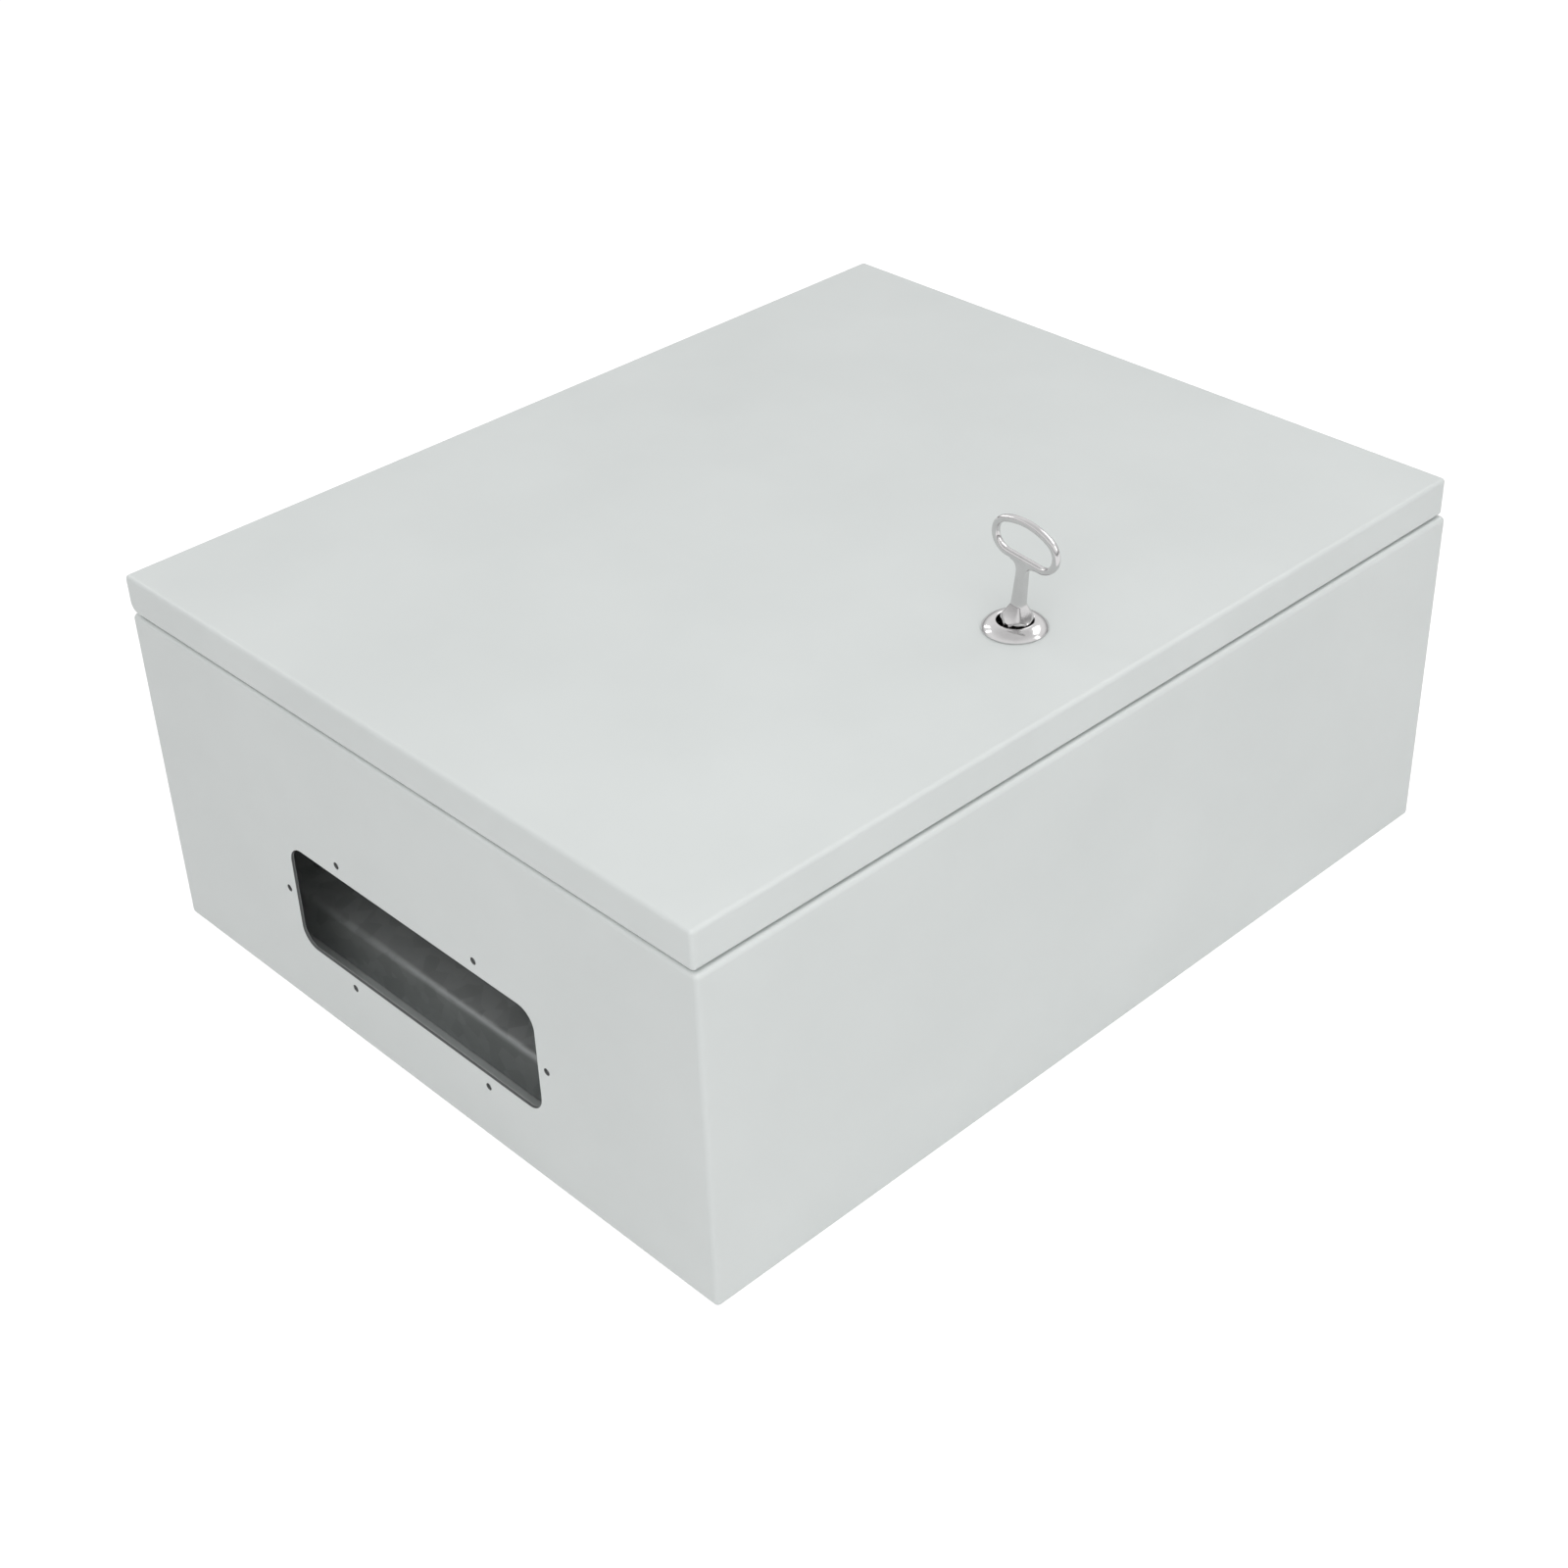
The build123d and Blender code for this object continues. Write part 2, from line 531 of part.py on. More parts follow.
def lock_spindle():
    """The turning core: the double bit and collar in the recess, a round shaft, and a square for the cam."""
    bit = Circle(BIT_RADIUS) + (Circle(BIT_SPAN) & Rectangle(2 * BIT_SPAN, BIT_THICKNESS))
    spindle = prism(bit, COLLAR_TOP, BIT_TOP)
    spindle += prism(Circle(COLLAR_RADIUS), COLLAR_LOW, COLLAR_TOP)
    spindle += prism(Circle(SPINDLE_RADIUS), CAM_TOP, COLLAR_LOW)
    spindle += prism(Rectangle(CAM_SQUARE, CAM_SQUARE), CAM_LOW + SQUARE_SHORT, CAM_TOP)
    tapped = CAM_LOW - CAM_WASHER_THICKNESS + CAM_SCREW_LENGTH + CAM_SCREW_END_ROOM
    return spindle - prism(Circle(CAM_SCREW_RADIUS + THREAD_PLAY), CAM_LOW - PAST, tapped)


def lock_cam():
    """A flat cam, wide at its hub and round at its tip, with a lead-in on the tip's edge."""
    tip_centre = CAM_REACH - CAM_TIP_RADIUS
    hub = Circle(CAM_HUB_RADIUS)
    tip = Pos(0, tip_centre) * Circle(CAM_TIP_RADIUS)
    cam = prism(make_hull(hub.edges() + tip.edges()), CAM_LOW, CAM_TOP)
    upper = cam.edges().filter_by_position(Axis.Z, CAM_TOP - NEAR, CAM_TOP + NEAR)
    cam = chamfer(upper.sort_by(Axis.Y)[-1], CAM_LEAD)
    square = CAM_SQUARE + 2 * CAM_SQUARE_PLAY
    return cam - prism(Rectangle(square, square), CAM_LOW - PAST, CAM_TOP + PAST)


def cam_fastening():
    """The washer and screw that hold the cam on the spindle."""
    washer_low = CAM_LOW - CAM_WASHER_THICKNESS
    washer = ring(CAM_WASHER_RADIUS, CAM_SCREW_RADIUS + STUD_ROOM, washer_low, CAM_LOW)
    screw = socket_screw(CAM_SCREW_RADIUS, CAM_SCREW_LENGTH, CAM_SCREW_HEAD_RADIUS, CAM_SCREW_HEAD_HEIGHT)
    return {"cam_washer": washer, "cam_screw": Pos(0, 0, washer_low) * Rot(180, 0, 0) * screw}


def lock_parts():
    """Every piece of the lock about its own axis."""
    washer_low = SKIN_LOW - LOCK_WASHER_THICKNESS
    nut_low = washer_low - LOCK_NUT_HEIGHT
    bore = NECK_RADIUS + THREAD_PLAY
    pieces = {
        "lock_housing": lock_housing(),
        "lock_seal": ring(SEAL_OUTER, SEAL_INNER, DEPTH, DEPTH + SEAL_THICKNESS),
        "lock_washer": ring(LOCK_WASHER_RADIUS, NECK_RADIUS + NECK_PLAY, washer_low, SKIN_LOW),
        "lock_nut": hex_nut(LOCK_NUT_FLATS, bore, nut_low, washer_low, LOCK_NUT_CHAMFER),
        "lock_spindle": lock_spindle(),
        "lock_cam": lock_cam(),
    }
    pieces.update(cam_fastening())
    return pieces


def bow_outline():
    """The bow's outside: a straight chord below, two round ends, and a flatter arc that joins them."""
    end_x = BOW_WIDTH / 2 - BOW_END_RADIUS
    rise = BOW_HEIGHT - BOW_END_RADIUS
    crown_z = (end_x**2 + BOW_END_RADIUS**2 - rise**2) / (2 * (BOW_END_RADIUS - rise))
    crown_radius = BOW_HEIGHT - crown_z
    share = crown_radius / (crown_radius - BOW_END_RADIUS)
    join_x = end_x * share
    join_z = crown_z + (BOW_END_RADIUS - crown_z) * share
    chord = Line((-end_x, 0), (end_x, 0))
    right = ThreePointArc((end_x, 0), (end_x + BOW_END_RADIUS, BOW_END_RADIUS), (join_x, join_z))
    crown = ThreePointArc((join_x, join_z), (0, BOW_HEIGHT), (-join_x, join_z))
    left = ThreePointArc((-join_x, join_z), (-end_x - BOW_END_RADIUS, BOW_END_RADIUS), (-end_x, 0))
    return make_face(chord + right + crown + left)


def key_bow():
    """The open bow with a flared root, rounded like a casting."""
    outside = bow_outline()
    root = span(-KEY_STEM_NARROW / 2, KEY_STEM_NARROW / 2, -2 * BOW_FLARE, NEAR)
    plate = outside + root
    inner_corners = plate.vertices().filter_by_position(Axis.Y, -NEAR, NEAR)
    inner_corners = inner_corners.filter_by_position(Axis.X, -KEY_STEM_NARROW, KEY_STEM_NARROW)
    plate = fillet(inner_corners, BOW_FLARE)
    plate -= offset(outside, amount=-BOW_WIRE)
    bow = extrude(Plane.XZ * plate, amount=BOW_THICKNESS / 2, both=True)
    flat_faces = bow.faces().filter_by(Axis.Y)
    return fillet(flat_faces.edges(), BOW_ROUND)


def key():
    """The key about the lock's axis, its barrel hollow for the double bit, leaning as it stands there."""
    barrel = prism(Circle(KEY_BARREL_RADIUS), KEY_LOW, KEY_BARREL_TOP)
    flare_foot = Pos(0, 0, KEY_BARREL_TOP) * Circle(KEY_BARREL_RADIUS)
    stem_foot = Pos(0, 0, STEM_LOW) * Rectangle(KEY_STEM_WIDE, KEY_STEM_WIDE)
    stem_head = Pos(0, 0, BOW_LOW) * Rectangle(KEY_STEM_NARROW, KEY_STEM_NARROW)
    flare = loft([flare_foot, stem_foot])
    stem = loft([stem_foot, stem_head])
    bow = Pos(0, 0, BOW_LOW) * key_bow()
    bit_room = Circle(BIT_RADIUS + KEY_CLEAR)
    wing_span = BIT_SPAN + KEY_CLEAR
    wing_room = Circle(wing_span) & Rectangle(2 * wing_span, BIT_THICKNESS + 2 * KEY_CLEAR)
    socket = prism(bit_room + wing_room, KEY_LOW - PAST, BIT_TOP + KEY_FOOT_GAP)
    straight = barrel + flare + stem + bow - socket
    return Pos(0, 0, KEY_PIVOT) * Rot(0, KEY_LEAN, 0) * Pos(0, 0, -KEY_PIVOT) * straight


def enclosure():
    """Every node by its name, in its place."""
    nodes = {
        "body_shell": body_shell(),
        "mounting_plate": mounting_plate(),
        "door_panel": door_panel(),
        "door_gasket": door_gasket(),
        "hinge_screws": hinge_screws(),
    }
    nodes.update(plate_hardware())
    body_earth_at = (-WIDTH / 2 + BODY_EARTH_IN_X, -HEIGHT / 2 + BODY_EARTH_UP)
    door_earth_at = (-WIDTH / 2 + DOOR_EARTH_IN_X, -HEIGHT / 2 + DOOR_EARTH_UP)
    nodes.update(earth_point("body", BODY_SHEET, 1, *body_earth_at))
    nodes.update(earth_point("door", SKIN_LOW, -1, *door_earth_at))
    foot_holes = across_lip(HINGE_SCREW_RADIUS + THREAD_PLAY, -WIDTH / 2, -LIP_WIDTH / 2 + NEAR)
    for name, y in HINGE_PLACES.items():
        place = Pos(HINGE_X, y, HINGE_Z)
        bracket = place * hinge_bracket()
        for hole in foot_holes:
            bracket -= hole
        nodes[f"hinge_bracket_{name}"] = bracket
        nodes[f"hinge_clevis_{name}"] = place * hinge_clevis()
        nodes[f"hinge_pin_{name}"] = place * hinge_pin()
    for name, piece in lock_parts().items():
        nodes[name] = Pos(LOCK_X, LOCK_Y, 0) * piece
    nodes["key"] = Pos(LOCK_X, LOCK_Y, 0) * key()
    return nodes


for node_name, node in enclosure().items():
    export_step(node, f"parts/{node_name}.step")
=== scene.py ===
# %% [markdown]
# A steel wall enclosure lies on its back, its key in the door's lock. The construction is already made: a
# folded body, a folded door on concealed hinges, a mounting plate, and a quarter-turn lock. This lesson
# loads it as a fixed frame, gives each sheet part its finish, and builds the small turned, threaded,
# moulded and cast pieces again at the fineness that a close look asks for. Everything is in metres, in the
# frame's own axes: X to the lock side, Y up the wall, Z out through the door.

# %% Load the frame
import math

import bmesh
import bpy
from mathutils import Matrix, Vector, noise


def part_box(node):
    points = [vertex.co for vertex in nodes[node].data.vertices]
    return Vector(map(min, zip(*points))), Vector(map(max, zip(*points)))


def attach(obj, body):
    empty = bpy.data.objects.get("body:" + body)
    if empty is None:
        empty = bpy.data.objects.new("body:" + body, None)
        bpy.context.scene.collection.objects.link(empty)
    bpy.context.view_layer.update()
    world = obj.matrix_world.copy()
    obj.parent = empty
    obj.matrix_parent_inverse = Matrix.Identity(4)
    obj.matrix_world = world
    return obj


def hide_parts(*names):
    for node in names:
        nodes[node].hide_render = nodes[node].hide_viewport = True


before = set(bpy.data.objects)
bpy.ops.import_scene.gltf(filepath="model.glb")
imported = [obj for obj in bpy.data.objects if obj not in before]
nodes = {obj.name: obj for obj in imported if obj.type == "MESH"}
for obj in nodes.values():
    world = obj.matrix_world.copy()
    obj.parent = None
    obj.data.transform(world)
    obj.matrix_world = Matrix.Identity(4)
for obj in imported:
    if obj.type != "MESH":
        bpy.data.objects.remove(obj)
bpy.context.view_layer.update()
MM = 0.001

# %% [markdown]
# Every later piece takes its place from the node that it stands for. A few helpers read that node's box, so
# that a size is never typed twice.

# %% Places read from the frame
def low(node, axis):
    """A node's lowest coordinate along one axis, 0 for X, 1 for Y and 2 for Z."""
    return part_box(node)[0][axis]


def high(node, axis):
    """A node's highest coordinate along one axis."""
    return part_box(node)[1][axis]


def middle(node):
    """The middle of a node's box."""
    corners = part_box(node)
    return (corners[0] + corners[1]) / 2


def extent(node, axis):
    """A node's length along one axis."""
    return high(node, axis) - low(node, axis)


X, Y, Z = 0, 1, 2
DOOR_FACE = high("door_panel", Z)
LOCK = Vector((middle("lock_housing").x, middle("lock_housing").y, 0))
print("door face", round(DOOR_FACE, 4), "lock axis", [round(v, 4) for v in LOCK])

# %% [markdown]
# Materials are made of small sums of textures. Written with the node editor's clicks such a sum is slow to
# read, so one class wraps a socket: adding or multiplying two of them adds the Math node that does it, and
# one method makes any other node. Its settings are set before its sockets, because some settings change
# which sockets a node has.

# %% One socket class for all shader maths
MIX_FACTOR, MIX_DARK, MIX_LIGHT, MIX_RESULT = 0, 6, 7, 2
NOISE_RANGE = (0.3, 0.7)


class Wire:
    """An output socket of a material's node tree."""

    def __init__(self, tree, socket=None):
        self.tree = tree
        self.socket = socket

    def node(self, kind, settings=None, inputs=None, output=0):
        """A new node of this tree: first its settings, then its sockets' values or links."""
        made = self.tree.nodes.new(kind)
        for name, value in (settings or {}).items():
            setattr(made, name, value)
        for name, value in (inputs or {}).items():
            if isinstance(value, Wire):
                self.tree.links.new(value.socket, made.inputs[name])
            else:
                made.inputs[name].default_value = value
        return Wire(self.tree, made.outputs[output])

    def math(self, operation, first, second):
        return self.node("ShaderNodeMath", {"operation": operation}, {0: first, 1: second})

    def __add__(self, other):
        return self.math("ADD", self, other)

    def __sub__(self, other):
        return self.math("SUBTRACT", self, other)

    def __rsub__(self, other):
        return self.math("SUBTRACT", other, self)

    def __mul__(self, other):
        return self.math("MULTIPLY", self, other)

    def __rmul__(self, other):
        return self.math("MULTIPLY", other, self)

    def above(self, level):
        return self.math("GREATER_THAN", self, level)

    def below(self, level):
        return self.math("LESS_THAN", self, level)

    def blend(self, dark, light):
        """A colour between two, by this socket."""
        ends = {MIX_FACTOR: self, MIX_DARK: dark, MIX_LIGHT: light}
        return self.node("ShaderNodeMix", {"data_type": "RGBA"}, ends, MIX_RESULT)

    def spread(self, from_low, from_high, to_low, to_high):
        """This value, moved from one range to another and kept inside it."""
        ends = {"Value": self, "From Min": from_low, "From Max": from_high}
        ends.update({"To Min": to_low, "To Max": to_high})
        return self.node("ShaderNodeMapRange", {}, ends)

    def stretch(self, to_low=0.0, to_high=1.0):
        """Noise, which keeps to its middle, stretched over a whole range."""
        return self.spread(*NOISE_RANGE, to_low, to_high)


# %% [markdown]
# A finish is one material. Sockets that are the same everywhere are plain values on the shader. Only what
# changes over the surface is linked, and relief goes through a Bump node into Normal. The textures read
# Object coordinates, which here are metres in the enclosure's own frame, so a grain size is a real size.

# %% A finish and its textures
def colour(red, green, blue):
    return (red, green, blue, 1.0)


class Finish:
    """A material with its shader, and the texture calls that all finishes share."""

    def __init__(self, name, values):
        self.material = bpy.data.materials.new(name)
        self.material.use_nodes = True
        self.shader = self.material.node_tree.nodes["Principled BSDF"]
        self.root = Wire(self.material.node_tree)
        for socket, value in values.items():
            self.shader.inputs[socket].default_value = value
        self.place = self.root.node("ShaderNodeTexCoord", output="Object")

    def cloud(self, size, detail=2.0, roughness=0.5):
        """Soft noise from 0 to 1, with lumps of about this size in metres."""
        inputs = {"Vector": self.place, "Scale": 1 / size, "Detail": detail, "Roughness": roughness}
        return self.root.node("ShaderNodeTexNoise", {}, inputs)

    def cells(self, size):
        """Crystal-like cells of about this size in metres."""
        inputs = {"Vector": self.place, "Scale": 1 / size}
        return self.root.node("ShaderNodeTexVoronoi", {}, inputs, "Color")

    def grey(self, wire):
        """One channel of a colour, as a number."""
        return self.root.node("ShaderNodeSeparateColor", {}, {"Color": wire}, "Red")

    def coordinate(self, axis):
        """The X, Y or Z of the place, in metres."""
        return self.root.node("ShaderNodeSeparateXYZ", {}, {"Vector": self.place}, axis)

    def feed(self, socket, wire):
        self.material.node_tree.links.new(wire.socket, self.shader.inputs[socket])

    def relief(self, height, depth):
        """Bumps the normal by a height from 0 to 1, where 1 is this depth in metres."""
        inputs = {"Height": height, "Distance": depth, "Strength": 1.0}
        self.feed("Normal", self.root.node("ShaderNodeBump", {}, inputs, "Normal"))


# %% [markdown]
# The enclosure's paint is a polyester powder, sprayed dry and baked. It levels into a satin skin that is
# never quite flat: fine orange peel about a millimetre across, and a very faint unevenness of tone where
# the coat is thicker. A plain grey would look like plastic card, and strong bumps like hammered paint, so
# both stay weak. The cut edges of the punched cable opening are painted dark: painted shade, where
# the light doesn't reach into the cut. A box of coordinates finds that edge, because the sheet's outside
# and inside lie just beyond it.

# %% Powder coat
PAINT_THIN = colour(0.640, 0.668, 0.660)
PAINT_THICK = colour(0.668, 0.696, 0.688)
PAINT_ROUGH = (0.36, 0.42)
COAT_DRIFT = 90 * MM
ROUGH_DRIFT = 25 * MM
PEEL_SIZE = 1.4 * MM
PEEL_DEPTH = 0.012 * MM
FINE_PEEL = 0.4

# A dark colour painted on the cable opening's cut edges as shade.
SHADED_CUT_EDGE = colour(0.16, 0.165, 0.165)
EDGE_X = (-100 * MM, 100 * MM)
EDGE_Y = (-249.9 * MM, -248.6 * MM)
EDGE_Z = (30 * MM, 108 * MM)


def painted_edge_shade(finish):
    """1 on the cut edges of the cable opening and its holes, which take painted shade."""
    inside = 1.0
    for axis, (start, end) in zip("XYZ", (EDGE_X, EDGE_Y, EDGE_Z)):
        along = finish.coordinate(axis)
        inside = along.above(start) * along.below(end) * inside
    return inside


paint = Finish("powder_coat", {"Specular IOR Level": 0.5})
coat = paint.cloud(COAT_DRIFT, detail=3.0)
skin = coat.stretch().blend(PAINT_THIN, PAINT_THICK)
# The cut edges of the opening get the painted shade colour.
paint.feed("Base Color", painted_edge_shade(paint).blend(skin, SHADED_CUT_EDGE))
paint.feed("Roughness", paint.cloud(ROUGH_DRIFT).stretch(*PAINT_ROUGH))
paint.relief(paint.cloud(PEEL_SIZE) + FINE_PEEL * paint.cloud(PEEL_SIZE / 3), PEEL_DEPTH)
print("powder coat made")

# %% [markdown]
# The mounting plate is hot-dip galvanised sheet. Zinc freezes in crystals, the spangle, and each one turns
# the light a little differently. Cells give each crystal its own tone and its own roughness, and a fine
# noise over them keeps a cell from looking like a flat tile. Dull zinc scatters part of the light, so the
# shader is only half metallic.

# %% Galvanised sheet
SPANGLE = 9 * MM
FROST = 1.2 * MM
SPANGLE_SHARE = 0.7
SPANGLE_DARK = colour(0.43, 0.45, 0.45)
SPANGLE_LIGHT = colour(0.57, 0.59, 0.59)
SPANGLE_ROUGH = (0.50, 0.72)
FLOW_WAVE = 2.5 * MM
FLOW_DEPTH = 0.01 * MM
plate_finish = Finish("galvanised_sheet", {"Metallic": 0.5})
crystal = plate_finish.grey(plate_finish.cells(SPANGLE))
frost = plate_finish.cloud(FROST, detail=4.0)
tone = SPANGLE_SHARE * crystal + (1 - SPANGLE_SHARE) * frost
plate_finish.feed("Base Color", tone.blend(SPANGLE_DARK, SPANGLE_LIGHT))
plate_finish.feed("Roughness", (0.5 * crystal + 0.5 * frost).spread(0.0, 1.0, *SPANGLE_ROUGH))
plate_finish.relief(plate_finish.cloud(FLOW_WAVE), FLOW_DEPTH)
print("galvanised sheet made")

# %% [markdown]
# Nuts, washers, brackets and the cam are zinc plated and passivated: a bright silver with a hint of blue
# and straw where the film is thicker. The film's tint drifts over a few millimetres. Pins are ground steel,
# weld studs are coppered, and the lock's inner casting is dull plated zinc, so one function makes all four
# from a pair of colours, a roughness range and a grain.

# %% Metals of the small pieces
GRAIN_RANGE = (0.25, 0.75)


def metal(name, dark, light, rough, drift, grain, depth):
    """A metal whose tint drifts over one length and whose grain has another."""
    made = Finish(name, {"Metallic": 1.0})
    film = made.cloud(drift, detail=2.0)
    made.feed("Base Color", film.stretch().blend(dark, light))
    fine = made.cloud(grain, detail=3.0)
    made.feed("Roughness", fine.spread(*GRAIN_RANGE, *rough))
    made.relief(fine, depth)
    return made


ZINC_BLUE = colour(0.62, 0.65, 0.68)
ZINC_STRAW = colour(0.72, 0.70, 0.62)
zinc = metal(
    "zinc_plate", ZINC_BLUE, ZINC_STRAW, rough=(0.22, 0.34),
    drift=6 * MM, grain=0.5 * MM, depth=0.006 * MM,
)
COPPER_DARK = colour(0.46, 0.29, 0.20)
COPPER_LIGHT = colour(0.62, 0.43, 0.31)
coppered = metal(
    "coppered_steel", COPPER_DARK, COPPER_LIGHT, rough=(0.30, 0.45),
    drift=3 * MM, grain=0.4 * MM, depth=0.006 * MM,
)
STEEL_DARK = colour(0.50, 0.50, 0.50)
STEEL_LIGHT = colour(0.60, 0.60, 0.59)
ground_steel = metal(
    "ground_steel", STEEL_DARK, STEEL_LIGHT, rough=(0.22, 0.32),
    drift=5 * MM, grain=0.3 * MM, depth=0.004 * MM,
)
CASTING_DARK = colour(0.34, 0.34, 0.34)
CASTING_LIGHT = colour(0.44, 0.44, 0.43)
casting = metal(
    "plated_casting", CASTING_DARK, CASTING_LIGHT, rough=(0.35, 0.48),
    drift=4 * MM, grain=0.7 * MM, depth=0.02 * MM,
)
print("small metals made")

# %% [markdown]
# The rosette and the key are zinc castings with bright plating. Plating follows the casting's skin, which
# is slightly wavy, so its reflections bend and break. The wave is a few millimetres long and a few
# hundredths deep. A little warmth in the darker tone matches the rosy grey that nickel shows under white
# light.

# %% Bright plating
NICKEL_WARM = colour(0.60, 0.585, 0.59)
NICKEL_PALE = colour(0.68, 0.675, 0.675)
NICKEL_ROUGH = (0.09, 0.17)
SKIN_WAVE = 3.5 * MM
SKIN_GRAIN = 0.6 * MM
FINE_SKIN = 0.15
SKIN_DEPTH = 0.03 * MM
bright = Finish("bright_plating", {"Metallic": 1.0})
bright.feed("Base Color", bright.cloud(5 * MM, detail=2.0).blend(NICKEL_WARM, NICKEL_PALE))
bright.feed("Roughness", bright.cloud(2 * MM).stretch(*NICKEL_ROUGH))
bright.relief(bright.cloud(SKIN_WAVE) + FINE_SKIN * bright.cloud(SKIN_GRAIN), SKIN_DEPTH)
print("bright plating made")

# %% [markdown]
# Two soft materials are left. The door's gasket is polyurethane, foamed in place: a matt skin over fine
# pores. The lock's seal is a moulded rubber ring.

# %% Foam and rubber
FOAM_DARK = colour(0.035, 0.036, 0.038)
FOAM_LIGHT = colour(0.085, 0.086, 0.09)
FOAM_ROUGH = (0.72, 0.95)
FOAM_DEPTH = 0.18 * MM
PORE_RANGE = (0.2, 0.8)
foam = Finish("gasket_foam", {"Specular IOR Level": 0.3})
pores = foam.cloud(0.9 * MM, detail=5.0, roughness=0.7)
foam.feed("Base Color", pores.blend(FOAM_DARK, FOAM_LIGHT))
foam.feed("Roughness", pores.spread(*PORE_RANGE, *FOAM_ROUGH))
foam.relief(pores + 0.6 * foam.cloud(4 * MM), FOAM_DEPTH)

RUBBER_DARK = colour(0.018, 0.018, 0.018)
RUBBER_LIGHT = colour(0.035, 0.035, 0.034)
RUBBER_ROUGH = (0.5, 0.65)
rubber = Finish("seal_rubber", {"Specular IOR Level": 0.4})
bloom = rubber.cloud(3 * MM)
rubber.feed("Base Color", bloom.blend(RUBBER_DARK, RUBBER_LIGHT))
rubber.feed("Roughness", bloom.stretch(*RUBBER_ROUGH))
rubber.relief(rubber.cloud(0.4 * MM), 0.01 * MM)
print("foam and rubber made")

# %% [markdown]
# The big sheet parts, the hinges' folded halves and the cam keep the frame's own solids, because their
# bends, holes and edges are already the real ones. They only need their finish.

# %% Finishes of the nodes that stay
KEPT = {
    "body_shell": paint, "door_panel": paint, "mounting_plate": plate_finish,
    "hinge_bracket_lower": zinc, "hinge_bracket_upper": zinc,
    "hinge_clevis_lower": zinc, "hinge_clevis_upper": zinc, "lock_cam": zinc,
}
for name, finish in KEPT.items():
    surfaces = nodes[name].data.materials
    surfaces.clear()
    surfaces.append(finish.material)
print("kept nodes", sorted(KEPT))

# %% [markdown]
# Nearly every small piece here is a stack of rings about an axis: a washer, a nut, a thread, a pin and even
# the key's square stem. A ring's radius may depend on the angle, which turns a circle into a hexagon, a
# square, a flatted neck or one turn of a thread. So one lattice of rings makes them all, in the order in
# which a lathe tool would follow the outline.

# %% Rings and the lattice through them
ROUND = 72


def ring(radius, height, count):
    """Points about the Z axis. The radius is a number, or a function of the angle."""
    points = []
    for step in range(count):
        angle = 2 * math.pi * step / count
        reach = radius(angle) if callable(radius) else radius
        points.append(Vector((reach * math.cos(angle), reach * math.sin(angle), height)))
    return points


def lattice(rings, hollow):
    """A closed mesh through rings of equal length: a hollow one joins its last ring to its first."""
    mesh = bmesh.new()
    rows = [[mesh.verts.new(point) for point in points] for points in rings]
    pairs = list(zip(rows, rows[1:]))
    if hollow:
        pairs.append((rows[-1], rows[0]))
    else:
        mesh.faces.new(rows[0])
        mesh.faces.new(rows[-1])
    for one, two in pairs:
        for index in range(len(one)):
            after = (index + 1) % len(one)
            mesh.faces.new((one[index], one[after], two[after], two[index]))
    bmesh.ops.recalc_face_normals(mesh, faces=mesh.faces)
    return mesh


def turned(outline, hollow=True, count=ROUND):
    """A lattice from an outline of (radius, height) pairs."""
    return lattice([ring(radius, height, count) for radius, height in outline], hollow)


# %% [markdown]
# A finished lattice becomes a piece: copied to each of its places, shaded smooth with its real edges kept
# sharp, given its finish and joined to the body it rides on, and the nodes that it stands for are hidden.

# %% From mesh to piece
EDGE_ANGLE = math.radians(32)


def added(name, data):
    """A new object in the scene."""
    thing = bpy.data.objects.new(name, data)
    bpy.context.scene.collection.objects.link(thing)
    return thing


def piece(name, body, stands_for, finish, meshes, places=(Matrix.Identity(4),)):
    """One object from one or more meshes, repeated at each place."""
    data = bpy.data.meshes.new(name)
    whole = bmesh.new()
    for place in places:
        for mesh in meshes:
            part = bpy.data.meshes.new("part")
            mesh.to_mesh(part)
            part.transform(place)
            whole.from_mesh(part)
            bpy.data.meshes.remove(part)
    whole.to_mesh(data)
    whole.free()
    data.materials.append(finish.material)
    data.polygons.foreach_set("use_smooth", [True] * len(data.polygons))
    data.set_sharp_from_angle(angle=EDGE_ANGLE)
    thing = added(name, data)
    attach(thing, body)
    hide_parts(*stands_for)
    print(name, "faces", len(data.polygons))
    return thing


def standing(spot, level):
    """A place over a spot, with its axis along Z."""
    return Matrix.Translation((spot[X], spot[Y], level))


def hanging(spot, level):
    """A place with its axis along -Z, for what hangs from the door."""
    return standing(spot, level) @ Matrix.Rotation(math.pi, 4, "X")


# %% [markdown]
# Outlines come in a few kinds. The hexagon's corners reach further than its flats, and a cone cuts them off
# at each end, which draws the curved chamfer of a real nut. The thread's radius rises and falls once a
# turn, and moves along by one pitch as the angle goes round.

# %% Radii that depend on the angle
HEX_HALF = math.pi / 6


def hexagon(flats, limit):
    """A hexagon with two corners on the X axis, cut off at a limit."""
    def radius(angle):
        within = angle % (2 * HEX_HALF) - HEX_HALF
        return min(flats / 2 / math.cos(within), limit)
    return radius


def flatted(radius, flats):
    """A circle, or any other outline, with two flats across Y."""
    def cut(angle):
        reach = radius(angle) if callable(radius) else radius
        rise = abs(math.sin(angle))
        return min(reach, flats / 2 / rise) if rise > 0 else reach
    return cut


def square(side, limit):
    """A square with its sides across X and Y, its corners cut off at a limit."""
    def radius(angle):
        return min(side / 2 / max(abs(math.cos(angle)), abs(math.sin(angle))), limit)
    return radius


THREAD_FLAT = 1.25


def thread(core, crest, pitch, height):
    """One turn of a screw thread, at one height."""
    def radius(angle):
        phase = (height / pitch - angle / (2 * math.pi)) % 1.0
        tooth = 1 - abs(2 * phase - 1)
        return core + (crest - core) * min(1.0, THREAD_FLAT * tooth)
    return radius


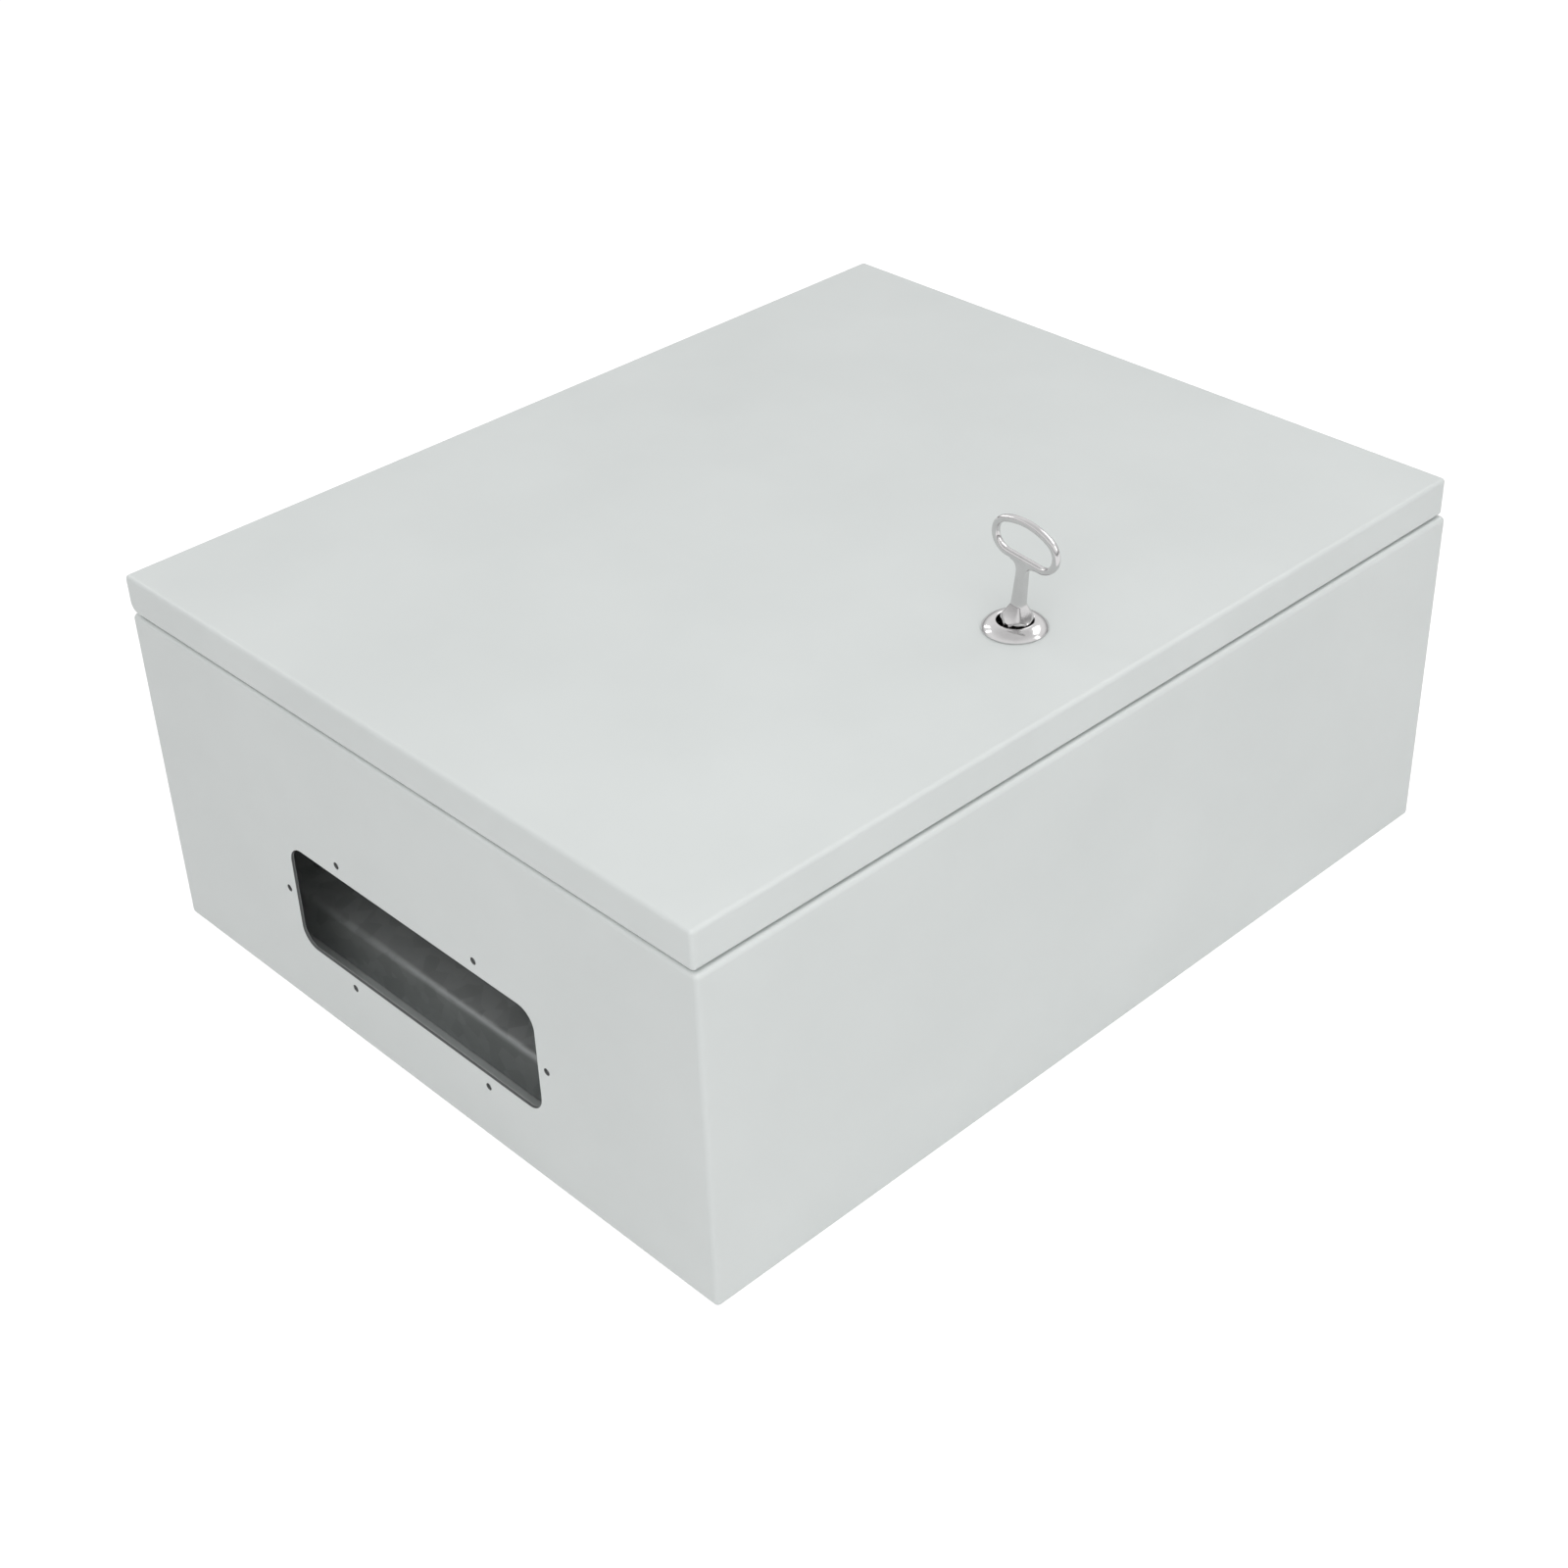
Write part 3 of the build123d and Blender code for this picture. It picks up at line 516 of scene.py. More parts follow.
def double_bit(core, span, thickness):
    """A round pin with a wing on each side along X."""
    def radius(angle):
        rise = abs(math.sin(angle))
        wing = min(span, thickness / 2 / rise) if rise > 0 else span
        return max(core, wing)
    return radius


# %% [markdown]
# A weld stud is a cold-formed screw without a head. It stands on a small collar of weld metal, its thread
# runs almost down to that collar, and its end is chamfered so that a nut starts easily. Six rings to each
# pitch are enough to show the thread as real relief.

# %% Weld studs
STUD_RADIUS = 4.0 * MM
STUD_PITCH = 1.25 * MM
THREAD_DEPTH = 0.7 * MM
STUD_FOOT = 5.0 * MM
FOOT_HEIGHT = 0.8 * MM
FOOT_SHAPE = ((0.98, 0.0), (1.0, 0.2), (0.95, 0.7))
FOOT_NECK = 1.04
STUD_CHAMFER = 0.8 * MM
STEPS_A_PITCH = 6
STUD_COUNT = 36


def threaded(start, end, crest, depth, pitch, chamfer, shape=None):
    """Rings of a threaded shank between two heights, its far end chamfered."""
    steps = math.ceil((end - start) / pitch * STEPS_A_PITCH)
    rings = []
    for step in range(steps + 1):
        height = start + (end - start) * step / steps
        limit = crest - max(0.0, height - (end - chamfer))
        profile = thread(min(crest - depth, limit), min(crest, limit), pitch, height)
        rings.append((shape(profile) if shape else profile, height))
    return rings


def stud_mesh(length):
    """A stud from its weld foot at zero to its tip."""
    foot = [(STUD_FOOT * out, FOOT_HEIGHT * rise) for out, rise in FOOT_SHAPE]
    foot.append((STUD_RADIUS * FOOT_NECK, FOOT_HEIGHT))
    shank = threaded(FOOT_HEIGHT, length, STUD_RADIUS, THREAD_DEPTH, STUD_PITCH, STUD_CHAMFER)
    return turned(foot + shank, hollow=False, count=STUD_COUNT)


PLATE_STUD_X = high("plate_studs", X) - STUD_FOOT
PLATE_STUD_Y = high("plate_studs", Y) - STUD_FOOT
plate_spots = [(sx * PLATE_STUD_X, sy * PLATE_STUD_Y) for sx in (-1, 1) for sy in (-1, 1)]
plate_stud = stud_mesh(extent("plate_studs", Z))


def on_plate(node):
    """The four places of a node's pieces, round the plate's studs."""
    return [standing(spot, low(node, Z)) for spot in plate_spots]


stud_places = on_plate("plate_studs")
piece("plate_weld_studs", "cabinet", ["plate_studs"], coppered, [plate_stud], stud_places)


def earth_pieces(kind, name, finish, mesh, hangs=True):
    """One mesh twice: standing at the body's earth stud, and at the door's, where most of them hang."""
    for side, body in (("body", "cabinet"), ("door", "door")):
        node = f"{side}_earth_{kind}"
        spot = middle(f"{side}_earth_stud")
        place = standing(spot, low(node, Z))
        if side == "door" and hangs:
            place = hanging(spot, high(node, Z))
        piece(f"{side}_earth_{name}", body, [node], finish, [mesh], [place])


earth_stud = stud_mesh(extent("body_earth_stud", Z))
earth_pieces("stud", "weld_stud", coppered, earth_stud)

# %% [markdown]
# A nut is a slice of hexagon bar, turned at both ends so that no corner digs into the washer, and
# countersunk where the thread starts. Close rings near each end carry the curved chamfer line.

# %% Nuts
CHAMFER_RINGS = 6
FACE_SHARE = 0.95
CHAMFER_SLOPE = math.tan(math.radians(30))
COUNTERSINK = 0.35 * MM


def nut_mesh(flats, bore, height):
    """A hexagon nut from zero up, its bore countersunk at both ends."""
    corner = flats / 2 / math.cos(HEX_HALF)
    face = flats / 2 * FACE_SHARE
    rise = (corner - face) * CHAMFER_SLOPE
    lower = []
    for step in range(CHAMFER_RINGS + 1):
        share = step / CHAMFER_RINGS
        lower.append((hexagon(flats, face + (corner - face) * share), rise * share))
    upper = [(radius, height - level) for radius, level in reversed(lower)]
    mouth = bore + COUNTERSINK
    inside = [(mouth, height), (bore, height - COUNTERSINK), (bore, COUNTERSINK), (mouth, 0.0)]
    return turned(lower + upper + inside)


THREAD_PLAY = 0.05 * MM
nut = nut_mesh(extent("body_earth_nut", Y), STUD_RADIUS + THREAD_PLAY, extent("body_earth_nut", Z))
nut_places = on_plate("plate_nuts")
piece("plate_hex_nuts", "cabinet", ["plate_nuts"], zinc, [nut], nut_places)
earth_pieces("nut", "hex_nut", zinc, nut, hangs=False)

# %% [markdown]
# Washers are punched from strip. The punch rounds the edge where it enters and leaves a sharp one where it
# breaks through, so the upper edges are rounded and the lower ones square. Spacers are cut tube, chamfered
# inside and outside.

# %% Washers and spacers
ARC_MIDDLE = 0.3


def washer_mesh(outer, inner, height, edge, shape=None):
    """A washer from zero up, its upper edges rounded. A shape may cut its hole."""
    cut = ARC_MIDDLE * edge
    outside = [(outer, 0.0), (outer, height - edge), (outer - cut, height - cut), (outer - edge, height)]
    hole = [(inner + edge, height), (inner + cut, height - cut), (inner, height - edge), (inner, 0.0)]
    if shape:
        hole = [(shape(radius), level) for radius, level in hole]
    return turned(outside + hole)


WASHER_RADIUS = extent("body_earth_washer", X) / 2
WASHER_HEIGHT = extent("body_earth_washer", Z)
WASHER_BORE = STUD_RADIUS + 0.4 * MM
PUNCH_ROUND = 0.35 * MM
washer = washer_mesh(WASHER_RADIUS, WASHER_BORE, WASHER_HEIGHT, PUNCH_ROUND)
washer_places = on_plate("plate_washers")
piece("plate_flat_washers", "cabinet", ["plate_washers"], zinc, [washer], washer_places)
earth_pieces("washer", "flat_washer", zinc, washer)

SPACER_RADIUS = high("plate_spacers", X) - PLATE_STUD_X
SPACER_BORE = STUD_FOOT + 0.4 * MM
SPACER_LENGTH = extent("plate_spacers", Z)
SPACER_EDGE = 0.5 * MM
tube = [
    (SPACER_RADIUS - SPACER_EDGE, 0.0), (SPACER_RADIUS, SPACER_EDGE),
    (SPACER_RADIUS, SPACER_LENGTH - SPACER_EDGE), (SPACER_RADIUS - SPACER_EDGE, SPACER_LENGTH),
    (SPACER_BORE + SPACER_EDGE, SPACER_LENGTH), (SPACER_BORE, SPACER_LENGTH - SPACER_EDGE),
    (SPACER_BORE, SPACER_EDGE), (SPACER_BORE + SPACER_EDGE, 0.0),
]
spacer_places = on_plate("plate_spacers")
piece("plate_tube_spacers", "cabinet", ["plate_spacers"], zinc, [turned(tube)], spacer_places)

# %% [markdown]
# The screws that hold the hinge brackets and the cam have low domed heads with a hexagon socket. The
# outline goes down the outside of the shank, up over the dome and back down into the socket, whose floor is
# a shallow cone as the broach's pilot drill leaves it.

# %% Socket screws
SOCKET_SHARE = 0.36
SOCKET_DEPTH = 0.6
SOCKET_CONE = 0.1
SOCKET_RIM = 1.12
MOUTH_CHAMFER = 0.05
HEAD_UNDER = 0.98
HEAD_EDGE = 0.08
HEAD_FLANK = 0.45
SCREW_THREAD = 0.35
DOME_STEPS = 8
TIP = 0.02 * MM


def screw_mesh(shank, length, head, height, pitch):
    """A screw about Z: its head stands on zero and its shank goes down from there."""
    down = threaded(0.0, length, shank, SCREW_THREAD * pitch, pitch, shank / 4)
    rings = [(radius, -level) for radius, level in reversed(down)]
    flank = height * HEAD_FLANK
    rings += [(head * HEAD_UNDER, 0.0), (head, HEAD_EDGE * height), (head, flank)]
    socket_limit = head * SOCKET_SHARE / math.cos(HEX_HALF)
    for step in range(1, DOME_STEPS + 1):
        angle = math.pi / 2 * step / DOME_STEPS
        reach = head - (head - socket_limit * SOCKET_RIM) * (1 - math.cos(angle))
        rings.append((reach, flank + (height - flank) * math.sin(angle)))
    socket = hexagon(2 * head * SOCKET_SHARE, socket_limit)
    rings.append((socket, height - MOUTH_CHAMFER * height))
    rings.append((socket, height * (1 - SOCKET_DEPTH)))
    rings.append((TIP, height * (1 - SOCKET_CONE - SOCKET_DEPTH)))
    return turned(rings, hollow=False)


SCREW_HEAD = 3.5 * MM
SCREW_HEAD_HEIGHT = 2.2 * MM
SCREW_SHANK = 2.0 * MM
SCREW_PITCH = 0.7 * MM
lip_inside = high("hinge_screws", X) - SCREW_HEAD_HEIGHT
screw_length = lip_inside - low("hinge_screws", X)
screw = screw_mesh(SCREW_SHANK, screw_length, SCREW_HEAD, SCREW_HEAD_HEIGHT, SCREW_PITCH)
SCREW_STEP = 6.0 * MM
screw_height = middle("hinge_screws").z
turn_to_x = Matrix.Rotation(math.pi / 2, 4, "Y")
screw_places = []
for bracket in ("hinge_bracket_lower", "hinge_bracket_upper"):
    for way in (-1, 1):
        spot = (lip_inside, middle(bracket).y + way * SCREW_STEP, screw_height)
        screw_places.append(Matrix.Translation(spot) @ turn_to_x)
piece("hinge_socket_screws", "cabinet", ["hinge_screws"], zinc, [screw], screw_places)

# %% [markdown]
# A hinge pin is a plain ground pin with a flat head, which stops it from dropping out, and a chamfered end.
# It lies along Y, so the turned mesh is laid over, head upwards.

# %% Hinge pins
PIN_RADIUS = 2.0 * MM
PIN_HEAD = extent("hinge_pin_lower", X) / 2
PIN_COUNT = 48
PIN_CHAMFER = 0.4 * MM
PIN_HEAD_HEIGHT = 1.2 * MM
PIN_EDGE = 0.25 * MM
pin_length = extent("hinge_pin_lower", Y)
under_head = pin_length - PIN_HEAD_HEIGHT
pin_outline = [
    (PIN_RADIUS - PIN_CHAMFER, 0.0), (PIN_RADIUS, PIN_CHAMFER), (PIN_RADIUS, under_head),
    (PIN_HEAD - PIN_EDGE, under_head), (PIN_HEAD, under_head + PIN_EDGE),
    (PIN_HEAD, pin_length - PIN_EDGE), (PIN_HEAD - PIN_EDGE, pin_length),
]
pin = turned(pin_outline, hollow=False, count=PIN_COUNT)
lay_along_y = Matrix.Rotation(-math.pi / 2, 4, "X")
for place in ("lower", "upper"):
    node = f"hinge_pin_{place}"
    foot = Matrix.Translation((middle(node).x, low(node, Y), middle(node).z)) @ lay_along_y
    piece(f"hinge_ground_pin_{place}", "door", [node], ground_steel, [pin], [foot])

# %% [markdown]
# The gasket is not cut and glued but foamed: a nozzle lays a bead of liquid polyurethane on the door, which
# rises, skins over and joins itself where the bead closes. So the strip is a soft-shouldered bead, its
# width wanders by a few tenths, and there is a slight lump at the joint. It is swept round a rounded
# rectangle.

# %% Door gasket
BEAD_WIDTH = 11.0 * MM
BEAD_HEIGHT = extent("door_gasket", Z)
BEAD_SIDES = 0.55
BEAD_CROWN = 0.6
BEND_RADIUS = 9.0 * MM
BEND_STEPS = 10
RUN_STEPS = 60
STRAIGHT_RUN = 20 * BEND_RADIUS
BEAD_STEPS = 14
JOINT_LENGTH = 14.0 * MM
JOINT_SWELL = 0.02
JOINT_RISE = 0.03
WIDTH_WANDER = 0.015
WIDTH_WAVES = 60
HEIGHT_SHARE = 0.94
HEIGHT_WANDER = 0.03
HEIGHT_WAVES = 45


def bead_path():
    """Centre points round the door with the outward direction at each, starting at the middle of one side."""
    half_x = extent("door_gasket", X) / 2 - BEAD_WIDTH / 2
    half_y = extent("door_gasket", Y) / 2 - BEAD_WIDTH / 2
    centre = middle("door_gasket")
    stops = []
    for turn, (sx, sy) in enumerate(((1, 1), (-1, 1), (-1, -1), (1, -1))):
        heart = Vector((sx * (half_x - BEND_RADIUS), sy * (half_y - BEND_RADIUS), 0))
        for step in range(BEND_STEPS + 1):
            angle = math.pi / 2 * (turn + step / BEND_STEPS)
            out = Vector((math.cos(angle), math.sin(angle), 0))
            stops.append((centre + heart + BEND_RADIUS * out, out))
    path = []
    for (start, out), (end, _) in zip(stops, stops[1:] + stops[:1]):
        path.append((start, out))
        steps = RUN_STEPS if (end - start).length > STRAIGHT_RUN else 1
        for step in range(1, steps):
            path.append((start.lerp(end, step / steps), out))
    return path


def signed_power(value, power):
    """A power that keeps the sign, which squares off the shoulders of a circle."""
    return math.copysign(abs(value) ** power, value)


def bead_section(swell):
    """Half a soft oval: offsets outwards and down from the door's skin."""
    points = []
    for step in range(BEAD_STEPS + 1):
        angle = math.pi * step / BEAD_STEPS
        across = signed_power(math.cos(angle), BEAD_SIDES) * BEAD_WIDTH / 2
        points.append((across * swell, math.sin(angle) ** BEAD_CROWN * BEAD_HEIGHT))
    return points


ends_at = bead_path()[0][0]
bead_rings = []
for centre, out in bead_path():
    wander = 1 - WIDTH_WANDER + WIDTH_WANDER * noise.noise(centre * WIDTH_WAVES)
    lump = max(0.0, 1 - (centre - ends_at).length / JOINT_LENGTH)
    section = bead_section(min(1.0, wander + JOINT_SWELL * lump))
    skin = high("door_gasket", Z)
    drop = HEIGHT_SHARE + HEIGHT_WANDER * noise.noise(centre * HEIGHT_WAVES) + JOINT_RISE * lump
    bead_rings.append([
        Vector((centre.x + out.x * across, centre.y + out.y * across, skin - down * drop))
        for across, down in section
    ])
gasket = lattice(bead_rings, hollow=True)
piece("foamed_door_gasket", "door", ["door_gasket"], foam, [gasket])

# %% [markdown]
# The lock's outside is one zinc casting. Its rosette is a low cone with a soft outer edge and a crown round
# the recess, and its neck goes through the door: threaded for the nut, with two flats that keep it from
# turning. The neck is thread and flats at once, which is the thread's radius cut by the flats.

# %% Lock housing
ROSETTE_RADIUS = extent("lock_housing", X) / 2
ROSETTE_TOP = high("lock_housing", Z)
ROSETTE_RIM = 0.9 * MM
ROSETTE_BULGE = 0.75 * MM
BULGE_POWER = 0.8
BULGE_SHARE = 0.7
FOOT_EDGE = 0.25 * MM
CROWN_RADIUS = 9.6 * MM
CROWN_EDGE = 0.7 * MM
RECESS_RADIUS = 8.5 * MM
RECESS_DEPTH = 9.0 * MM
NECK_RADIUS = 11.0 * MM
NECK_FLATS = 20.0 * MM
NECK_PITCH = 1.5 * MM
NECK_THREAD = 0.8 * MM
SPINDLE_BORE = 6.05 * MM
SEAL_ROOM = 0.1 * MM
CONE_STEPS = 12
EDGE_STEPS = 6
LOCK_COUNT = 96
seal_outer = extent("lock_seal", X) / 2
seal_inner = 11.6 * MM
seal_top = high("lock_seal", Z)
neck_low = low("lock_housing", Z)


def rosette_outline():
    """From the seal's groove, out round the rim, up the bulged cone and over the crown to the recess."""
    outline = [(seal_outer + SEAL_ROOM, DOOR_FACE), (ROSETTE_RADIUS - FOOT_EDGE, DOOR_FACE)]
    rim = DOOR_FACE + ROSETTE_RIM
    outline += [(ROSETTE_RADIUS - FOOT_EDGE / 5, DOOR_FACE + FOOT_EDGE), (ROSETTE_RADIUS, rim)]
    for step in range(1, CONE_STEPS + 1):
        share = step / CONE_STEPS
        straight = ROSETTE_RADIUS + (CROWN_RADIUS - ROSETTE_RADIUS) * share
        bulge = BULGE_SHARE * ROSETTE_BULGE * math.sin(math.pi * share) ** BULGE_POWER
        level = rim + (ROSETTE_TOP - rim) * share
        outline.append((straight + bulge, min(level + bulge, ROSETTE_TOP)))
    for step in range(EDGE_STEPS + 1):
        angle = math.pi / 2 * step / EDGE_STEPS
        reach = RECESS_RADIUS + CROWN_EDGE * (1 - math.sin(angle))
        outline.append((reach, ROSETTE_TOP - CROWN_EDGE * (1 - math.cos(angle))))
    return outline


recess_floor = DOOR_FACE - RECESS_DEPTH
inside = [(RECESS_RADIUS, recess_floor), (SPINDLE_BORE, recess_floor), (SPINDLE_BORE, neck_low)]
neck = threaded(
    0.0, DOOR_FACE - neck_low, NECK_RADIUS, NECK_THREAD, NECK_PITCH, 0.0,
    lambda profile: flatted(profile, NECK_FLATS),
)
neck = [(radius, neck_low + level) for radius, level in neck]
groove = [(seal_inner - SEAL_ROOM, DOOR_FACE), (seal_inner - SEAL_ROOM, seal_top + SEAL_ROOM)]
groove += [(seal_outer + SEAL_ROOM, seal_top + SEAL_ROOM)]
housing = turned(neck + groove + rosette_outline() + inside, count=LOCK_COUNT)
at_lock = [Matrix.Translation(LOCK)]
piece("lock_rosette_and_neck", "door", ["lock_housing"], bright, [housing], at_lock)

# %% [markdown]
# Under the rosette lies a round rubber seal, and behind the door a thin washer and a flat nut hold the
# lock. The washer's hole has the neck's flats, so it can't turn while the nut is tightened.

# %% Lock seal, washer and nut
seal_middle = (seal_outer + seal_inner) / 2
seal_half = (seal_outer - seal_inner) / 2
seal_low = low("lock_seal", Z)
seal_height = seal_top - seal_low
seal_outline = []
SEAL_STEPS = 20
SEAL_SIDES = 0.7
for step in range(SEAL_STEPS):
    angle = 2 * math.pi * step / SEAL_STEPS - math.pi / 2
    across = signed_power(math.cos(angle), SEAL_SIDES) * seal_half
    rise = (1 + signed_power(math.sin(angle), SEAL_SIDES)) * seal_height / 2
    seal_outline.append((seal_middle + across, seal_low + rise))
piece("lock_rubber_seal", "door", ["lock_seal"], rubber, [turned(seal_outline)], at_lock)

THIN_ROUND = 0.25 * MM
NECK_PLAY = 0.25 * MM
lock_washer = washer_mesh(
    extent("lock_washer", X) / 2, NECK_RADIUS + NECK_PLAY, extent("lock_washer", Z), THIN_ROUND,
    lambda radius: flatted(radius, NECK_FLATS + 2 * NECK_PLAY),
)
washer_place = [hanging(LOCK, high("lock_washer", Z))]
piece("lock_keyed_washer", "door", ["lock_washer"], zinc, [lock_washer], washer_place)

lock_nut = nut_mesh(extent("lock_nut", Y), NECK_RADIUS + THREAD_PLAY, extent("lock_nut", Z))
nut_place = [standing(LOCK, low("lock_nut", Z))]
piece("lock_flat_nut", "door", ["lock_nut"], zinc, [lock_nut], nut_place)

# %% [markdown]
# The spindle is the part that the key turns. At its top stands the double bit, a pin with two wings, on a
# round collar that covers the recess's floor. Below are a round shaft and a square, which carries the cam.

# %% Lock spindle
spindle_top = high("lock_spindle", Z)
spindle_low = low("lock_spindle", Z)
collar_radius = extent("lock_spindle", X) / 2
COLLAR_HEIGHT = 2.0 * MM
COLLAR_UNDER = 0.2 * MM
COLLAR_EDGE = 0.3 * MM
BIT_CORE = 2.5 * MM
BIT_SPAN = 4.7 * MM
BIT_THICKNESS = 3.0 * MM
BIT_FOOT = 5.2 * MM
BIT_HEIGHT = 7.5 * MM
BIT_EDGE = 0.4 * MM
collar_top = spindle_top - BIT_HEIGHT
collar_low = collar_top - COLLAR_HEIGHT
cam_top = high("lock_cam", Z)
CAM_SQUARE = 8.0 * MM
SQUARE_CORNER = 5.4 * MM
SHAFT_RADIUS = 6.0 * MM
TAP_RADIUS = 3.05 * MM
TAP_DEPTH = 6.0 * MM
TAP_CONE = 1.0 * MM
bit = double_bit(BIT_CORE, BIT_SPAN, BIT_THICKNESS)
bit_end = double_bit(BIT_CORE - BIT_EDGE, BIT_SPAN - BIT_EDGE, BIT_THICKNESS - 2 * BIT_EDGE)
cam_seat = square(CAM_SQUARE, SQUARE_CORNER)
spindle_outline = [
    (TAP_RADIUS, spindle_low), (cam_seat, spindle_low), (cam_seat, cam_top),
    (SHAFT_RADIUS, cam_top), (SHAFT_RADIUS, collar_low), (collar_radius - COLLAR_UNDER, collar_low),
    (collar_radius, collar_low + COLLAR_UNDER), (collar_radius, collar_top - COLLAR_EDGE),
    (collar_radius - COLLAR_EDGE, collar_top), (BIT_FOOT, collar_top), (bit, collar_top),
    (bit, spindle_top - BIT_EDGE), (bit_end, spindle_top), (TIP, spindle_top),
    (TIP, cam_top + TAP_DEPTH + TAP_CONE), (TAP_RADIUS, cam_top + TAP_DEPTH),
]
spindle = turned(spindle_outline, count=LOCK_COUNT)
piece("lock_double_bit_spindle", "lock_core", ["lock_spindle"], casting, [spindle], at_lock)

# %% [markdown]
# Below the cam a washer and a screw hold it on the square. They hang head down.

# %% Cam washer and screw
CAM_SCREW = 3.0 * MM
CAM_PITCH = 1.0 * MM
CAM_PLAY = 0.4 * MM
cam_washer = washer_mesh(
    extent("cam_washer", X) / 2, CAM_SCREW + CAM_PLAY, extent("cam_washer", Z), THIN_ROUND,
)
cam_washer_place = [hanging(LOCK, high("cam_washer", Z))]
piece("cam_flat_washer", "lock_core", ["cam_washer"], zinc, [cam_washer], cam_washer_place)
CAM_HEAD = extent("cam_screw", X) / 2
CAM_HEAD_HEIGHT = 4.0 * MM
cam_screw_length = extent("cam_screw", Z) - CAM_HEAD_HEIGHT
cam_screw = screw_mesh(CAM_SCREW, cam_screw_length, CAM_HEAD, CAM_HEAD_HEIGHT, CAM_PITCH)
cam_screw_place = [hanging(LOCK, low("cam_screw", Z) + CAM_HEAD_HEIGHT)]
piece("cam_socket_screw", "lock_core", ["cam_screw"], zinc, [cam_screw], cam_screw_place)

# %% [markdown]
# The key is a small casting with three forms in it. A round barrel fits over the double bit, and flares in
# to a square stem, so its four ridges fade into the round. The stem narrows upwards and spreads again into
# the bow. Rings carry all of that: each is a superellipse, whose power turns a circle into a square with
# soft corners. It leans a little on its loose bit, in the plane of its bow, as the photograph shows it.

# %% Key barrel and stem
KEY_LEAN = math.radians(6.3)
BARREL_RADIUS = 7.0 * MM
BARREL_EDGE = 0.5 * MM
KEY_SHOULDER = 5.5 * MM
KEY_FLARE = 8.0 * MM
STEM_WIDE = 5.6 * MM
STEM_NARROW = 4.7 * MM
STEM_LENGTH = 21.0 * MM
KEY_FOOT_GAP = 1.1 * MM
SOCKET_PLAY = 0.7 * MM
BOW_FLARE = 5.0 * MM
KEY_COUNT = 96
barrel_low = collar_top + KEY_FOOT_GAP
barrel_top = DOOR_FACE + KEY_SHOULDER
stem_low = barrel_top + KEY_FLARE
bow_low = stem_low + STEM_LENGTH
key_pivot = (collar_top + spindle_top) / 2


def superellipse(half_x, half_y, power):
    """An outline between an ellipse, at power 2, and a rectangle with soft corners."""
    def radius(angle):
        across = abs(math.cos(angle) / half_x) ** power
        along = abs(math.sin(angle) / half_y) ** power
        return (across + along) ** (-1 / power)
    return radius


def smooth(share):
    """An even start and end between 0 and 1."""
    return share * share * (3 - 2 * share)


socket_top = spindle_top + KEY_FOOT_GAP
socket = double_bit(BIT_CORE + SOCKET_PLAY, BIT_SPAN + SOCKET_PLAY, BIT_THICKNESS + 2 * SOCKET_PLAY)
key_outline = [
    (TIP, socket_top), (socket, socket_top), (socket, barrel_low),
    (BARREL_RADIUS - BARREL_EDGE, barrel_low), (BARREL_RADIUS, barrel_low + BARREL_EDGE),
    (BARREL_RADIUS, barrel_top),
]
FLARE_RINGS = 16
FLARE_CURVE = 0.8
RIDGE_SHARE = 0.3
ROUND_POWER = 2
RIDGE_POWER = 8
for step in range(1, FLARE_RINGS + 1):
    share = step / FLARE_RINGS
    half = BARREL_RADIUS + (STEM_WIDE / 2 - BARREL_RADIUS) * share ** FLARE_CURVE
    power = ROUND_POWER + (RIDGE_POWER - ROUND_POWER) * min(1.0, share / RIDGE_SHARE)
    key_outline.append((superellipse(half, half, power), barrel_top + KEY_FLARE * share))

STEM_RINGS = 10
STEM_POWER = 7
for step in range(1, STEM_RINGS + 1):
    share = step / STEM_RINGS
    half = (STEM_WIDE + (STEM_NARROW - STEM_WIDE) * share) / 2
    level = stem_low + (STEM_LENGTH - BOW_FLARE) * share
    key_outline.append((superellipse(half, half, STEM_POWER), level))

SPREAD_RINGS = 12
SPREAD_POWER = 5
STEM_END = 0.45
BOW_WIRE = 3.3 * MM
BOW_THICKNESS = 3.6 * MM
for step in range(1, SPREAD_RINGS + 1):
    share = step / SPREAD_RINGS
    half_x = STEM_NARROW / 2 + BOW_FLARE * (1 - math.sqrt(max(0.0, 1 - share * share)))
    half_y = STEM_NARROW / 2 + (BOW_THICKNESS / 2 - STEM_NARROW / 2) * smooth(share)
    power = STEM_POWER + (SPREAD_POWER - STEM_POWER) * share
    key_outline.append((superellipse(half_x, half_y, power), bow_low - BOW_FLARE * (1 - share)))
top = superellipse(half_x, BOW_THICKNESS / 2, SPREAD_POWER)
key_outline.append((top, bow_low + STEM_END * BOW_WIRE))
stem = turned(key_outline, hollow=False, count=KEY_COUNT)

# %% [markdown]
# The bow is an open loop: a straight chord below, two round ends, and a flatter arc over the top. Its
# outline is worked out from those circles, and a soft section is swept along it. Then an exact union joins
# the loop and the stem into one skin, because on a casting there is no seam between them, and the slivers
# that a union leaves along its seam are merged away.

# %% Key bow
BOW_WIDTH = 38.5 * MM
BOW_HEIGHT = 22.0 * MM
END_RADIUS = 10.0 * MM
ARC_STEPS = 40
CHORD_STEPS = 24
SECTION_STEPS = 20
SECTION_POWER = 2.8
SLIVER = 0.002 * MM


